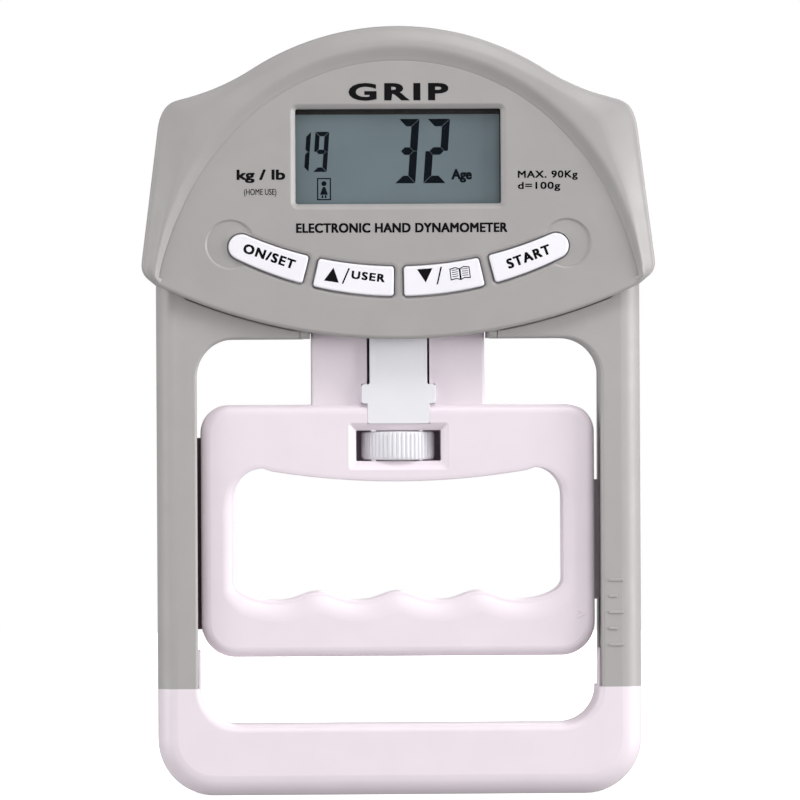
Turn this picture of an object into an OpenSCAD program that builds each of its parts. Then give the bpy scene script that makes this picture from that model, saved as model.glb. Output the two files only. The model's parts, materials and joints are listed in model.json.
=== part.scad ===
// Electronic hand-grip dynamometer.
// Origin: middle of the underside of the palm bar, half way through the depth.
// +X is to the right of a person reading the display, -Y points out of the display, +Z is up.

/* [Head] */
// Height of the top of the dome above the underside of the palm bar
total_h = 190; // [189:0.5:191]
// Radius of the dome
dome_r = 67; // [66:0.5:68]
// Half width of the head at its lower corners, where it is widest
head_hw = 63.4; // [63:0.1:64]
// Depth of the head and of the whole instrument
depth = 30; // [30:0.5:31]
// How far the display panel lies behind the rim
panel_drop = 1.6; // [1.4:0.1:1.8]
// Wall thickness of the mouldings
wall = 2; // [1.8:0.1:2]

/* [Display] */
// Width of the display opening
lcd_w = 50.3; // [48:0.1:51]
// Height of the display opening
lcd_h = 23; // [21:0.1:23.5]
// Height of the middle of the display opening
lcd_z = 156.9; // [156:0.1:157.5]

/* [Buttons] */
// Travel of a button
button_travel = 0.7; // [0.5:0.1:0.7]
// Gap between a button and the panel
button_gap = 0.25; // [0.2:0.05:0.3]
// How far a button stands out of the panel
button_proud = 1; // [0.8:0.1:1.2]

/* [Legs] */
// Half width over the legs
leg_hw = 59.9; // [59.5:0.1:60]
// Half width between the legs
gap_hw = 50.3; // [50.3:0.1:50.6]
// Height of the top of the space between the legs
gap_top = 112.9; // [112.5:0.1:113]
// Radius of the top corners of that space
gap_r = 9.4; // [9:0.1:10]
// Height of the joint between the legs and the palm bar
seam_z = 26.5; // [26:0.1:27]
// Height of the middle mark of the grip scale
scale_z = 44.9; // [44.5:0.1:45.2]
// Distance between two marks of the grip scale
scale_pitch = 4; // [3.9:0.05:4]

/* [Palm bar] */
// Height of the upper face of the palm bar
palm_top = 17.2; // [16.5:0.1:18]
// Radius of its outer bottom corners
palm_r = 14; // [12:0.5:15]

/* [Grip] */
// Half width of the grip
grip_hw = 48.7; // [48.4:0.1:48.8]
// Height of the underside of the grip at mid adjustment
grip_bottom = 34.2; // [34:0.1:34.4]
// Height of the top of the grip at mid adjustment
grip_top = 96.6; // [96.4:0.1:96.8]
// Thickness of the grip
grip_t = 17; // [17:0.1:17.4]
// Half width of the finger opening
finger_hw = 40.7; // [40:0.1:41]
// Distance between two finger grooves
finger_pitch = 20; // [19.6:0.1:20]
// Depth of a finger groove
finger_dip = 2.2; // [1.5:0.1:2.4]
// Adjustment travel of the grip, up and down from the middle
grip_travel = 8; // [6:0.5:8]
// Half width of the neck that enters the head
neck_hw = 21.4; // [21:0.1:21.6]

/* [Adjusting wheel] */
// Radius of the knurled wheel
wheel_r = 9.1; // [9:0.05:9.2]
// Height of the knurled wheel
wheel_h = 7; // [6.6:0.1:7.1]
// Number of ribs on the wheel
wheel_ribs = 50; // [40:1:60]
// Radius of the adjusting screw
screw_r = 3; // [2.8:0.1:3]

/* [Hidden] */

grey = [0.68, 0.67, 0.66];
blush = [0.91, 0.87, 0.90];
white = [0.93, 0.93, 0.95];
steel = [0.72, 0.73, 0.75];
brass = [0.80, 0.66, 0.36];
eps = 0.1;

// Planes across the depth
y_rim = -depth / 2;
y_back = depth / 2;
y_panel = y_rim + panel_drop;
y_inner = y_panel + wall;
y_leg = -10;
y_axis = 2.5;
y_split = y_axis;
y_pcb = -8;
pcb_t = 1.2;
y_grip = y_axis - grip_t / 2;
y_grip_back = y_axis + grip_t / 2;
y_neck = y_grip + 2;
y_neck_back = y_grip_back - 2;
thin = wall - 0.2;

// Dark gasket that shows inside the display opening, at its right and its top
gasket_side = 0.7;
gasket_top = 1.5;
// Border of the display glass beyond the opening, at each side and above and below
glass_side = 1.8;
glass_end = 2.2;

// Outline of the head
low_z = 112.7;
low_r = 139;
low_x = 59.4;
dome_x = 36;
dome_z = total_h - dome_r;
dome_a = acos(dome_x / dome_r);
shoulder = [54.6, 171.8];
side_top = [59.3, 164.8];

// Panel on the front of the head: a disc whose edge opens out towards the lower corners
panel_c = [0, 125.6];
panel_r = 56.3;
panel_flare = 3.9;
panel_flare_a = 30;

// Arcs of the button band
arc_up = [0, 224.6];
arc_up_r = 94;
arc_low = [0, 213.8];
arc_low_r = 90.5;
ray_c = [0, 219.2];
band_end = [38.85, 135.55];
band_end_r = 3.15;
a_mid = 0.8;
a_in = 12.8;
a_out = 14.45;
a_end = atan2(band_end[0], ray_c[1] - band_end[1]);
flange_t = 1;
ring_x = 41.5;
ring_z = 136.2;
ring_r = 6;

// Finger opening: lowest and highest level of its edge, rise of its arched top, round ends
finger_low = 48.1;
finger_top = 77.5;
finger_rise = 3;
finger_side = 5;
finger_r = 7;

// Palm bar: inner corners, lugs and plugs that enter the legs
palm_gap_r = 9;
lug_t = 1.1;
plug_top = 36;

// Grip, neck and adjusting gear
grip_r = 7;
grip_wall = 2.6;
neck_gap_hw = 23.3;
bridge_z = 116;
web_top = 120.5;
tab_top = 131;
tongue_t = 3.6;
tongue_left = [41, 88.5];
tongue_right = [48, 77.7];
tongue_in = 53;
slot_t = tongue_t + 0.7;
slot_z = [tongue_left[0] - grip_travel - 3.5, tongue_left[1] + grip_travel + 3.5];
tongue_reach = 4.2;
tongue_root = 2.5;
neck_top = 126;
stem_top = 124;
stem_hw = 7.1;
stem_back = y_axis + 5.2;
stem_mid_hw = 9.15;
stem_mid_top = 101.6;
stem_low_hw = 7.7;
stem_low_z = 91.8;
bevel_outer = [[-12.15, 80.6], [24.3, 11.2]];
bevel_inner = [[-11.3, 81.6], [22.6, 9.3]];
window_hw = 10.5;
window_back = 9.2;
window_back_hw = 6.5;
window_z0 = 82.55;
window_z1 = 90.15;
wheel_z0 = (window_z0 + window_z1 - wheel_h) / 2;
washer_t = 0.8;
washer_gap = 0.05;
screw_bottom = 80.8;
screw_top = 157.2;

// Load cell and nut
cell = [58, 14, 10];
cell_x0 = -8;
cell_z = 136;
squeeze = 0.5;
nut_r = 4.5;
nut_flange_r = 6.6;
nut_flange_t = 2.5;
run_gap = 0.05;
cell_screw_x = [35, 45];
pillar = [31, 49];

// Battery bay
cell_r = 5.25;
cell_len = 44.5;
bay_x = [-48.6, -26.8];
bay_z = [119.5, 168];
bay_y = 2.7;
bay_wall = 1.5;
battery_x = [-43.1, -32.3];
battery_y = bay_y + 0.1 + cell_r;
battery_z = 122.6;
door_t = 1.6;
door_gap = 0.3;
door_x = [bay_x[0] - bay_wall, bay_x[1] + bay_wall];
door_z = [bay_z[0] - bay_wall, bay_z[1] + bay_wall];
hinge_y = y_back - door_t / 2;
hinge_z = door_z[0] + door_t / 2;
pin_r = 0.6;
pin_l = 1;

// Screw places, as [x, z]
screws_head = [[-55.1, 127], [55.1, 127], [-54, 161.5], [54, 161.5], [0, 182]];
screws_leg = [[-55.1, 104], [55.1, 104]];
screws_palm = [[-55.1, 31.5], [55.1, 31.5]];
screws_grip = [[-44.8, 90], [44.8, 90], [-40, 41], [40, 41]];
screws_pcb = [[-46, 143], [46, 143], [-34, 169], [34, 169]];
pilot_r = 1.2;
shank_r = 1.15;
clear_r = 1.6;
head_r = 2.4;
head_t = 1.6;
y_seat = 6;

// Wires, as routes of hand-set points
gauge_route = [[12, 9.8, 147.5], [13, 10.6, 151.5], [14, 9.6, 155.5], [14.5, 5.5, 158], [14.5, 0.5, 159],
    [14, -3.5, 159], [13.5, -5.9, 158]];
battery_route = [[-24.5, 6, 160], [-20, 5, 163], [-15, 2, 165.5], [-11, -2.5, 166],
    [-8, -5.9, 165]];
wire_r = 0.45;
gauge_step = [1.2, 0, 0];
battery_step = [0, 0, 1.4];

// ---------- helpers ----------

function arc_pts(c, r, a0, a1, n) = [for (i = [0:n])
    let (a = a0 + (a1 - a0) * i / n) c + r * [cos(a), sin(a)]];

function bezier(a, b, c, n) = [for (i = [0:n])
    let (t = i / n) (1 - t) * (1 - t) * a + 2 * t * (1 - t) * b + t * t * c];

function other_side(pts) = [for (i = [len(pts) - 1:-1:0]) [-pts[i][0], pts[i][1]]];

function ray(a, d, off) = ray_c + [d * sin(a) + off * cos(a), -d * cos(a) + off * sin(a)];

// A flat outline in X and Z, given thickness from y0 to y1
module slab(y0, y1) {
    translate([0, y1, 0]) rotate([90, 0, 0]) linear_extrude(height = y1 - y0) children();
}

module box(a, b) {
    translate(a) cube(b - a);
}

module both() {
    children();
    mirror([1, 0, 0]) children();
}

// A cylinder along Y at [x, z]
module rod_y(p, y0, y1, r) {
    translate([p[0], y1, p[1]]) rotate([90, 0, 0]) cylinder(h = y1 - y0, r = r, $fn = 48);
}

module rod_z(x, y, z0, z1, r) {
    translate([x, y, z0]) cylinder(h = z1 - z0, r = r, $fn = 64);
}

module rod_x(x0, x1, y, z, r) {
    translate([x0, y, z]) rotate([0, 90, 0]) cylinder(h = x1 - x0, r = r, $fn = 48);
}

module round_rect(a, b, r) {
    translate(a + [r, r]) offset(r = r, $fn = 48) square(b - a - [2 * r, 2 * r]);
}

// A round wire along a route of points, as one closed sweep
module sweep(pts, r) {
    sides = 6;
    last = len(pts) - 1;
    tangents = [for (i = [0:last]) pts[min(i + 1, last)] - pts[max(i - 1, 0)]];
    rings = [for (i = [0:last])
        let (t = tangents[i] / norm(tangents[i]))
        let (s = cross(t, abs(t[2]) < 0.9 ? [0, 0, 1] : [1, 0, 0]))
        let (u = s / norm(s), v = cross(t, u))
        for (k = [0:sides - 1]) pts[i] + r * (cos(360 * k / sides) * u + sin(360 * k / sides) * v)];
    skin = [for (i = [0:last - 1]) for (k = [0:sides - 1])
        let (a = i * sides + k, b = i * sides + (k + 1) % sides)
        for (t = [[a, b + sides, b], [a, a + sides, b + sides]]) t];
    caps = [[for (k = [0:sides - 1]) k], [for (k = [sides - 1:-1:0]) last * sides + k]];
    polyhedron(points = rings, faces = concat(skin, caps), convexity = 6);
}

module screw_y(p, y_head, y_tip) {
    difference() {
        union() {
            rod_y(p, y_head, y_head + head_t, head_r);
            rod_y(p, y_tip, y_head, shank_r);
        }
        for (a = [0, 90])
            translate([p[0], y_head + head_t, p[1]]) rotate([0, a, 0]) cube([2.4, 1.6, 0.6], center = true);
    }
}

// ---------- outlines ----------

module head_2d(inset) {
    right = concat(arc_pts([0, low_z + low_r], low_r, -90, -90 + asin(low_x / low_r), 14),
        bezier([62, 128.2], [63.7, 129.8], [head_hw, 132], 5),
        bezier(side_top, [58.5, 170.75], shoulder, 6),
        bezier(shoulder + [-3, 0.8], [43.3, 174.85], [dome_x, dome_z + dome_r * sin(dome_a)], 5),
        arc_pts([0, dome_z], dome_r, dome_a + 3, 90, 12));
    offset(delta = -inset) polygon(concat(right, other_side(right)));
}

module panel_2d() {
    right = [for (i = [0:36]) let (a = -8 + 96 * i / 36)
        panel_c + (panel_r + panel_flare * max(0, panel_flare_a - max(a, 0)) / panel_flare_a)
        * [cos(a), sin(a)]];
    intersection() {
        polygon(concat([[0, 100]], right, other_side(right)));
        head_2d(0);
    }
}

// Space between the legs, open at the bottom
module gap_2d(grow) {
    hw = gap_hw + grow;
    top = gap_top + grow;
    translate([-hw, 0]) square([2 * hw, top - gap_r]);
    translate([-(hw - gap_r), 0]) square([2 * (hw - gap_r), top]);
    for (s = [-1, 1]) translate([s * (hw - gap_r), top - gap_r]) circle(r = gap_r, $fn = 64);
}

module band_2d(a0, a1, grow) {
    intersection() {
        translate(arc_low) circle(r = arc_low_r + grow, $fn = 200);
        difference() {
            polygon([ray(a0, 60, -grow), ray(a0, 120, -grow), ray(a1, 120, grow), ray(a1, 60, grow)]);
            translate(arc_up) circle(r = arc_up_r - grow, $fn = 200);
        }
    }
}

module outer_button_2d(grow) {
    band_2d(a_out, a_end, grow);
    translate(band_end) circle(r = band_end_r + grow, $fn = 48);
}

module inner_button_2d(grow) {
    band_2d(a_mid, a_in, grow);
}

module buttons_2d(grow) {
    for (s = [0, 1]) mirror([s, 0]) {
        outer_button_2d(grow);
        inner_button_2d(grow);
    }
}

function groove_z(x) = let (u = abs(x) % finger_pitch - finger_pitch / 2)
    finger_low + finger_dip * pow(2 * u / finger_pitch, 2);

// Finger opening: arched top, scalloped bottom
module finger_2d() {
    edge = finger_pitch * 1.5;
    top_x = finger_hw - finger_r;
    side = concat(
        [for (i = [0:30]) [edge * i / 30, groove_z(edge * i / 30)]],
        [for (i = [1:8]) let (a = 90 * i / 8)
            [edge + (finger_hw - edge) * sin(a), finger_low + finger_side * (1 - cos(a))]],
        arc_pts([top_x, finger_top + finger_rise - finger_r + 0.4], finger_r, 0, 90, 8),
        [for (i = [1:8]) let (x = top_x * (1 - i / 8)) [x, finger_top + finger_rise * pow(x / top_x, 2)]]);
    polygon(concat(side, other_side(side)));
}

module grip_2d(inset) {
    round_rect([-grip_hw + inset, grip_bottom + inset], [grip_hw - inset, grip_top - inset],
        grip_r - inset);
}

module palm_2d(inset) {
    difference() {
        intersection() {
            round_rect([-leg_hw + inset, inset], [leg_hw - inset, total_h], palm_r - inset);
            translate([-leg_hw, 0]) square([2 * leg_hw, seam_z]);
        }
        round_rect([-gap_hw + lug_t - inset, palm_top - inset],
            [gap_hw - lug_t + inset, seam_z + 20], palm_gap_r + inset);
    }
}

// ---------- housing ----------

module head_cover() {
    color(grey) difference() {
        union() {
            difference() {
                union() {
                    slab(y_rim + 2.4, y_split) head_2d(0);
                    slab(y_rim + 1, y_split) head_2d(1);
                    slab(y_rim, y_split) head_2d(2.4);
                }
                slab(y_rim - eps, y_panel) panel_2d();
                slab(y_inner, y_split + eps) head_2d(wall);
                // open underside behind the lower lip, for the legs and the neck
                box([-leg_hw - 0.2, y_leg - 0.15, 100], [leg_hw + 0.2, y_split + eps, tab_top + 0.4]);
            }
            for (p = screws_head) rod_y(p, y_inner - eps, y_split - 0.1, 2.6);
            for (p = screws_pcb) rod_y(p, y_inner - eps, y_pcb, 2);
        }
        for (p = screws_head) rod_y(p, -6, y_split, pilot_r);
        for (p = screws_pcb) rod_y(p, y_pcb - 3, y_pcb + eps, 0.8);
        box([-lcd_w / 2, y_rim, lcd_z - lcd_h / 2], [lcd_w / 2, 0, lcd_z + lcd_h / 2]);
        box([-lcd_w / 2 - 0.7, y_rim, lcd_z - lcd_h / 2 - 0.7],
            [lcd_w / 2 + 0.7, y_panel + 0.4, lcd_z + lcd_h / 2 + 0.7]);
        slab(y_rim, y_inner + eps) buttons_2d(button_gap);
        both() difference() {
            rod_y([ring_x, ring_z], y_rim, y_panel + 0.3, ring_r + 0.25);
            rod_y([ring_x, ring_z], y_rim - eps, y_panel + 1, ring_r - 0.25);
        }
    }
}

// Cross-section of the front of a leg, round on its outer edge
module leg_section(grow) {
    r = 4;
    polygon(concat([[gap_hw - grow, y_split], [gap_hw - grow, y_leg + 0.8 - grow],
        [gap_hw + 0.8 - grow, y_leg - grow]],
        arc_pts([leg_hw - r, y_leg + r], r + grow, -90, 0, 8), [[leg_hw + grow, y_split]]));
}

module leg_cavity(y0, y1, z0, z1) {
    box([gap_hw + thin, y0, z0], [leg_hw - thin, y1, z1]);
}

module front_frame() {
    color(grey) difference() {
        union() {
            difference() {
                union() {
                    both() translate([0, 0, seam_z])
                        linear_extrude(height = tab_top - seam_z) leg_section(0);
                    both() slab(y_leg, y_split) difference() {
                        translate([neck_gap_hw, gap_top - gap_r])
                            square([gap_hw + 2 - neck_gap_hw, web_top - gap_top + gap_r]);
                        gap_2d(0);
                    }
                    box([-neck_gap_hw - 1, y_leg, bridge_z], [neck_gap_hw + 1, y_leg + thin, web_top]);
                }
                both() {
                    leg_cavity(y_leg + thin, y_split + eps, seam_z - eps, tab_top + eps);
                    box([neck_gap_hw + thin, y_leg + thin, gap_top + thin],
                        [gap_hw + 3, y_split + eps, web_top + eps]);
                    box([gap_hw - eps, y_split - slot_t / 2, slot_z[0]],
                        [gap_hw + 3, y_split + eps, slot_z[1]]);
                }
            }
            // pillar that carries the fixed end of the load cell
            box([pillar[0], y_split - 5.5, web_top - 5], [pillar[1], y_split + 5.5, cell_z]);
            box([pillar[0], y_leg + thin - eps, gap_top + thin - eps], [pillar[1], y_split, web_top]);
            for (p = screws_leg) rod_y(p, y_leg + 1, y_split - 0.1, 2.5);
            // marks of the grip scale
            for (i = [-2:2])
                box([51.6, y_leg - 0.3, scale_z + i * scale_pitch - 0.3],
                    [abs(i) % 2 == 0 ? 55.4 : 53.8, y_leg + 0.5, scale_z + i * scale_pitch + 0.3]);
        }
        for (p = screws_leg) rod_y(p, -6, y_split, pilot_r);
        for (s = [-1, 1]) rod_y([s * screws_head[1][0], screws_head[1][1]], y_leg - 1, y_split, 2.9);
        for (x = cell_screw_x) rod_z(x, y_axis, cell_z - 12, cell_z + eps, 2.05);
    }
}

module rear_shell() {
    color(grey) difference() {
        union() {
            difference() {
                union() {
                    slab(y_split, y_back - 1.2) head_2d(0);
                    slab(y_split, y_back) head_2d(1.2);
                    both() translate([0, y_back, seam_z]) mirror([0, 1, 0])
                        linear_extrude(height = low_z - seam_z + 14) leg_back_section();
                    both() slab(y_split, y_back) difference() {
                        translate([neck_gap_hw, gap_top - gap_r]) square([gap_hw + 2 - neck_gap_hw, 20]);
                        gap_2d(0);
                    }
                }
                difference() {
                    slab(y_split - eps, y_back - wall) union() {
                        head_2d(wall);
                        translate([neck_gap_hw + thin, gap_top + thin])
                            square([leg_hw - neck_gap_hw - 2 * thin, 20]);
                        translate([-leg_hw + thin, gap_top + thin])
                            square([leg_hw - neck_gap_hw - 2 * thin, 20]);
                    }
                    both() box([neck_gap_hw, y_split - 1, gap_top - 1],
                        [neck_gap_hw + thin, y_back, gap_top + 10]);
                }
                both() {
                    leg_cavity(y_split - eps, y_back - thin, seam_z - eps, gap_top + 10);
                    box([gap_hw - eps, y_split - eps, slot_z[0]],
                        [gap_hw + 3, y_split + slot_t / 2, slot_z[1]]);
                }
                // way in for the neck
                box([-neck_gap_hw, y_split - eps, 100], [neck_gap_hw, y_neck_back + 1.3, gap_top + 8]);
            }
            box([door_x[0], bay_y - 1.2, door_z[0]], [door_x[1], y_back - 1, door_z[1]]);
            for (p = screws_head) rod_y(p, y_split, y_back - 1, 3.7);
            for (p = screws_leg) rod_y(p, y_split, y_back - 1, 3.4);
            for (p = screws_palm) rod_y(p, y_seat - 1.6, y_back - 1, 3.4);
        }
        for (p = concat(screws_head, screws_leg, screws_palm)) {
            rod_y(p, y_seat, y_back + eps, head_r + 0.3);
            rod_y(p, y_split - eps, y_seat + eps, clear_r);
        }
        box([bay_x[0], bay_y, bay_z[0]], [bay_x[1], y_back + eps, bay_z[1]]);
        box([door_x[0] - door_gap, y_back - door_t - 0.1, door_z[0] - door_gap],
            [door_x[1] + door_gap, y_back + eps, door_z[1] + door_gap]);
        // sockets for the pins of the door
        rod_x(door_x[0] - door_gap - pin_l, door_x[1] + door_gap + pin_l, hinge_y, hinge_z, pin_r + 0.05);
        // notch for a fingernail above the door
        rod_y([(door_x[0] + door_x[1]) / 2, door_z[1]], y_back - 1.2, y_back + eps, 4);
    }
}

// Cross-section of the back of a leg, in the same layout as the front one
module leg_back_section() {
    r = 3;
    polygon(concat([[gap_hw, y_back - y_split], [gap_hw, 0.8], [gap_hw + 0.8, 0]],
        arc_pts([leg_hw - r, r], r, -90, 0, 6), [[leg_hw, y_back - y_split]]));
}

module palm_plugs(y0, y1) {
    both() difference() {
        union() {
            box([gap_hw + thin + 0.15, y0, seam_z - 3], [leg_hw - thin - 0.15, y1, plug_top]);
            box([gap_hw - lug_t, y0, seam_z - 3], [gap_hw - 0.1, y1, plug_top]);
        }
        // groove in which the end of the grip's tongue runs
        box([gap_hw - 2, y_split - slot_t / 2, plug_top - 5],
            [tongue_in + 0.6, y_split + slot_t / 2, plug_top + 4]);
    }
}

module palm_bar_front() {
    color(blush) difference() {
        union() {
            difference() {
                union() {
                    slab(y_leg + 3.6, y_split) palm_2d(0);
                    slab(y_leg + 1.2, y_split) palm_2d(1.4);
                    slab(y_leg, y_split) palm_2d(3.4);
                }
                slab(y_leg + 5.4, y_split + eps) palm_2d(2.2);
            }
            both() box([gap_hw - 0.9, y_leg + 3, seam_z - 3], [leg_hw - 0.4, y_split, seam_z - 1]);
            palm_plugs(y_leg + thin + 0.2, y_split);
        }
        for (p = screws_palm) rod_y(p, -6, y_split + eps, pilot_r);
    }
}

module palm_bar_rear() {
    color(blush) difference() {
        union() {
            difference() {
                union() {
                    slab(y_split, y_back - 2.4) palm_2d(0);
                    slab(y_split, y_back) palm_2d(2.4);
                }
                slab(y_split - eps, y_back - 4.6) palm_2d(2.2);
            }
            both() box([gap_hw - 0.9, y_split, seam_z - 3], [leg_hw - 0.4, y_back - 3, seam_z - 1]);
            palm_plugs(y_split, y_seat - 1.8);
        }
        for (p = screws_palm) rod_y(p, y_split - eps, y_seat, clear_r);
    }
}

module battery_door() {
    color(grey) {
        difference() {
            union() {
                box([door_x[0], y_back - door_t, hinge_z], [door_x[1], y_back, door_z[1]]);
                // round lower edge with a pin at each end
                rod_x(door_x[0], door_x[1], hinge_y, hinge_z, door_t / 2);
                rod_x(door_x[0] - pin_l, door_x[1] + pin_l, hinge_y, hinge_z, pin_r);
            }
            // grip ribs
            for (i = [0:4])
                box([-43, y_back - 0.4, 158 + 2 * i], [-32.6, y_back + eps, 159 + 2 * i]);
        }
    }
}

module housing_screws() {
    color(steel) for (p = concat(screws_head, screws_leg)) screw_y(p, y_seat + 0.02, -4);
}

module palm_bar_screws() {
    color(steel) for (p = screws_palm) screw_y(p, y_seat + 0.02, -4);
}

// ---------- display and electronics ----------

module display_window() {
    color([0.8, 0.85, 0.88, 0.4])
        box([-lcd_w / 2 - 2.4, y_inner + 0.02, lcd_z - lcd_h / 2 - 2.4],
            [lcd_w / 2 + 2.4, y_inner + 0.82, lcd_z + lcd_h / 2 + 2.4]);
}

module display_gasket() {
    color([0.1, 0.09, 0.08]) difference() {
        box([-lcd_w / 2 - 1.6, y_inner + 0.84, lcd_z - lcd_h / 2 - 1.6],
            [lcd_w / 2 + 1.6, y_inner + 1.26, lcd_z + lcd_h / 2 + 1.6]);
        box([-lcd_w / 2, y_inner, lcd_z - lcd_h / 2],
            [lcd_w / 2 - gasket_side, 0, lcd_z + lcd_h / 2 - gasket_top]);
    }
}

module lcd_panel() {
    color([0.42, 0.48, 0.5])
        box([-lcd_w / 2 - glass_side, y_inner + 1.28, lcd_z - lcd_h / 2 - glass_end],
            [lcd_w / 2 + glass_side, y_inner + 2.88, lcd_z + lcd_h / 2 + glass_end]);
}

module lcd_holder() {
    x = lcd_w / 2 + glass_side;
    z0 = lcd_z - lcd_h / 2 - glass_end;
    z1 = lcd_z + lcd_h / 2 + glass_end;
    color(white) difference() {
        box([-x - 1.2, y_inner + 1.9, z0 - 1.2], [x + 1.2, y_pcb - 0.02, z1 + 1.2]);
        box([-x - 0.05, y_inner, z0 - 0.05], [x + 0.05, y_inner + 2.9, z1 + 0.05]);
        for (z = [z0 + 0.3, z1 - 1.7]) box([-24, y_inner, z], [24, 0, z + 1.4]);
    }
}

module zebra_strips() {
    z0 = lcd_z - lcd_h / 2 - 1.85;
    z1 = lcd_z + lcd_h / 2 + 0.55;
    color([0.2, 0.2, 0.22]) for (z = [z0, z1])
        box([-23.9, y_inner + 2.9, z], [23.9, y_pcb - 0.02, z + 1.3]);
}

module main_pcb() {
    color([0.1, 0.35, 0.2]) difference() {
        box([-49, y_pcb, 121.4], [49, y_pcb + pcb_t, 172]);
        for (s = [-1, 1]) box([s * 46 - 7, y_pcb - 1, 158], [s * 46 + 7, 0, 173]);
        for (p = screws_pcb) rod_y(p, y_pcb - 1, 0, 1.2);
    }
}

module pcb_chips() {
    y = y_pcb + pcb_t + 0.02;
    color([0.08, 0.08, 0.09]) {
        difference() {
            translate([-16, y, 152]) rotate([-90, 0, 0]) cylinder(h = 1.6, r1 = 7, r2 = 5, $fn = 64);
            translate([-16, y + 2.6, 152]) rotate([-90, 0, 0]) cylinder(h = 2, r = 6, $fn = 64);
        }
        box([12, y, 149], [18, y + 1.4, 155]);
        box([24, y, 150], [27, y + 1.2, 153]);
    }
    color(steel) box([20, y, 158], [28, y + 2.4, 161]);
    color(brass) for (i = [0:4]) box([-34 + 3 * i, y, 140], [-32.4 + 3 * i, y + 0.7, 140.9]);
}

module pcb_screws() {
    color(steel) for (p = screws_pcb) {
        rod_y(p, y_pcb + pcb_t + 0.02, y_pcb + pcb_t + 1, 1.6);
        rod_y(p, y_pcb - 2.4, y_pcb + pcb_t + 0.02, 0.75);
    }
}

// Silicone mat: a sheet on the board with a dome behind each button
module keypad_mat() {
    domes = [[33.5, 133.2], [11.3, 127.7]];
    dome_h = y_pcb - 0.7 - (y_inner + flange_t + button_travel + 0.1);
    color([0.8, 0.8, 0.8]) {
        slab(y_pcb - 0.8, y_pcb - 0.02) intersection() {
            band_2d(-26, 26, 1.6);
            translate([-46, 121.5]) square([92, 22]);
        }
        for (s = [-1, 1]) for (d = domes)
            translate([s * d[0], y_pcb - 0.7, d[1]]) rotate([90, 0, 0])
                cylinder(h = dome_h, r1 = 2.4, r2 = 1.6, $fn = 48);
    }
}

// A button: the cap, and a flange behind the panel that keeps it in
module button_body() {
    slab(y_panel - button_proud, y_inner + 0.3) children(0);
    slab(y_inner + 0.2, y_inner + flange_t) children(1);
}

module button_on_set() {
    color(white) mirror([1, 0, 0]) button_body() {
        outer_button_2d(0);
        outer_button_2d(0.8);
    }
}

module button_start() {
    color(white) button_body() {
        outer_button_2d(0);
        outer_button_2d(0.8);
    }
}

module button_up() {
    color(white) mirror([1, 0, 0]) button_body() {
        inner_button_2d(0);
        band_2d(a_mid, a_in, 0.45);
    }
}

module button_down() {
    color(white) button_body() {
        inner_button_2d(0);
        band_2d(a_mid, a_in, 0.45);
    }
}

// ---------- load cell ----------

module load_cell() {
    y0 = y_axis - cell[1] / 2;
    y1 = y_axis + cell[1] / 2;
    mid = cell_z + cell[2] / 2;
    color([0.8, 0.81, 0.83]) difference() {
        box([cell_x0, y0, cell_z], [cell_x0 + cell[0], y1, cell_z + cell[2]]);
        for (x = [13, 23]) rod_y([x, mid], y0 - 1, y1 + 1, 3.6);
        box([13, y0 - 1, mid - 1.2], [23, y1 + 1, mid + 1.2]);
        rod_z(0, y_axis, cell_z - 1, cell_z + cell[2] + 1, nut_r + 0.3);
        for (x = cell_screw_x) rod_z(x, y_axis, cell_z - 1, cell_z + cell[2] + 1, 2.2);
    }
}

module strain_gauges() {
    color([0.85, 0.6, 0.25]) for (x = [13, 23]) for (z = [cell_z - 0.17, cell_z + cell[2] + 0.02])
        box([x - 3, y_axis - 2.5, z], [x + 3, y_axis + 2.5, z + 0.15]);
}

module load_cell_screws() {
    top = cell_z + cell[2] + 0.02;
    color(steel) for (x = cell_screw_x) difference() {
        union() {
            rod_z(x, y_axis, top, top + 3.2, 3.5);
            rod_z(x, y_axis, cell_z - 10, top, 2);
        }
        translate([x, y_axis, top + 1.4]) cylinder(h = 4, r = 1.7, $fn = 6);
    }
}

// A route refined so that the wire bends smoothly
function smooth(pts) = [for (i = [0:len(pts) - 2])
    let (a = pts[max(i - 1, 0)], b = pts[i], c = pts[i + 1], d = pts[min(i + 2, len(pts) - 1)])
    for (k = [0:2]) let (t = k / 3)
    0.5 * (2 * b + (c - a) * t + (2 * a - 5 * b + 4 * c - d) * t * t
        + (3 * b - a - 3 * c + d) * t * t * t)];

module wires(route, count, step) {
    for (i = [0:count - 1]) sweep(smooth([for (p = route) p + i * step]), wire_r);
}

module gauge_wires() {
    color([0.75, 0.2, 0.15]) wires(gauge_route, 4, gauge_step);
}

module battery_wires() {
    color([0.15, 0.15, 0.16]) wires(battery_route, 2, battery_step);
}

// ---------- battery ----------

module batteries() {
    color([0.2, 0.35, 0.3]) for (i = [0, 1]) {
        flip = i == 0 ? 0 : cell_len;
        translate([battery_x[i], battery_y, battery_z + flip]) rotate([i * 180, 0, 0]) union() {
            cylinder(h = cell_len - 1, r = cell_r, $fn = 64);
            cylinder(h = cell_len, r = 1.9, $fn = 32);
        }
    }
}

module battery_springs() {
    turns = 3;
    steps = 10;
    z = bay_z[0] + 0.9;
    color(steel) for (i = [0, 1]) {
        sweep([for (k = [0:turns * steps])
            let (a = 360 * k / steps, r = 3.6 - 1.2 * k / (turns * steps))
            [battery_x[i] + r * cos(a), battery_y + r * sin(a),
             z + (battery_z - z - 0.3) * k / (turns * steps)]], 0.25);
    }
}

module battery_contacts() {
    color(steel) for (i = [0, 1]) {
        box([battery_x[i] - 4, battery_y - 4, bay_z[0] + 0.05],
            [battery_x[i] + 4, battery_y + 4, bay_z[0] + 0.5]);
        box([battery_x[i] - 4, battery_y - 4, bay_z[1] - 0.5],
            [battery_x[i] + 4, battery_y + 4, bay_z[1] - 0.05]);
    }
}

// ---------- grip ----------

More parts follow.
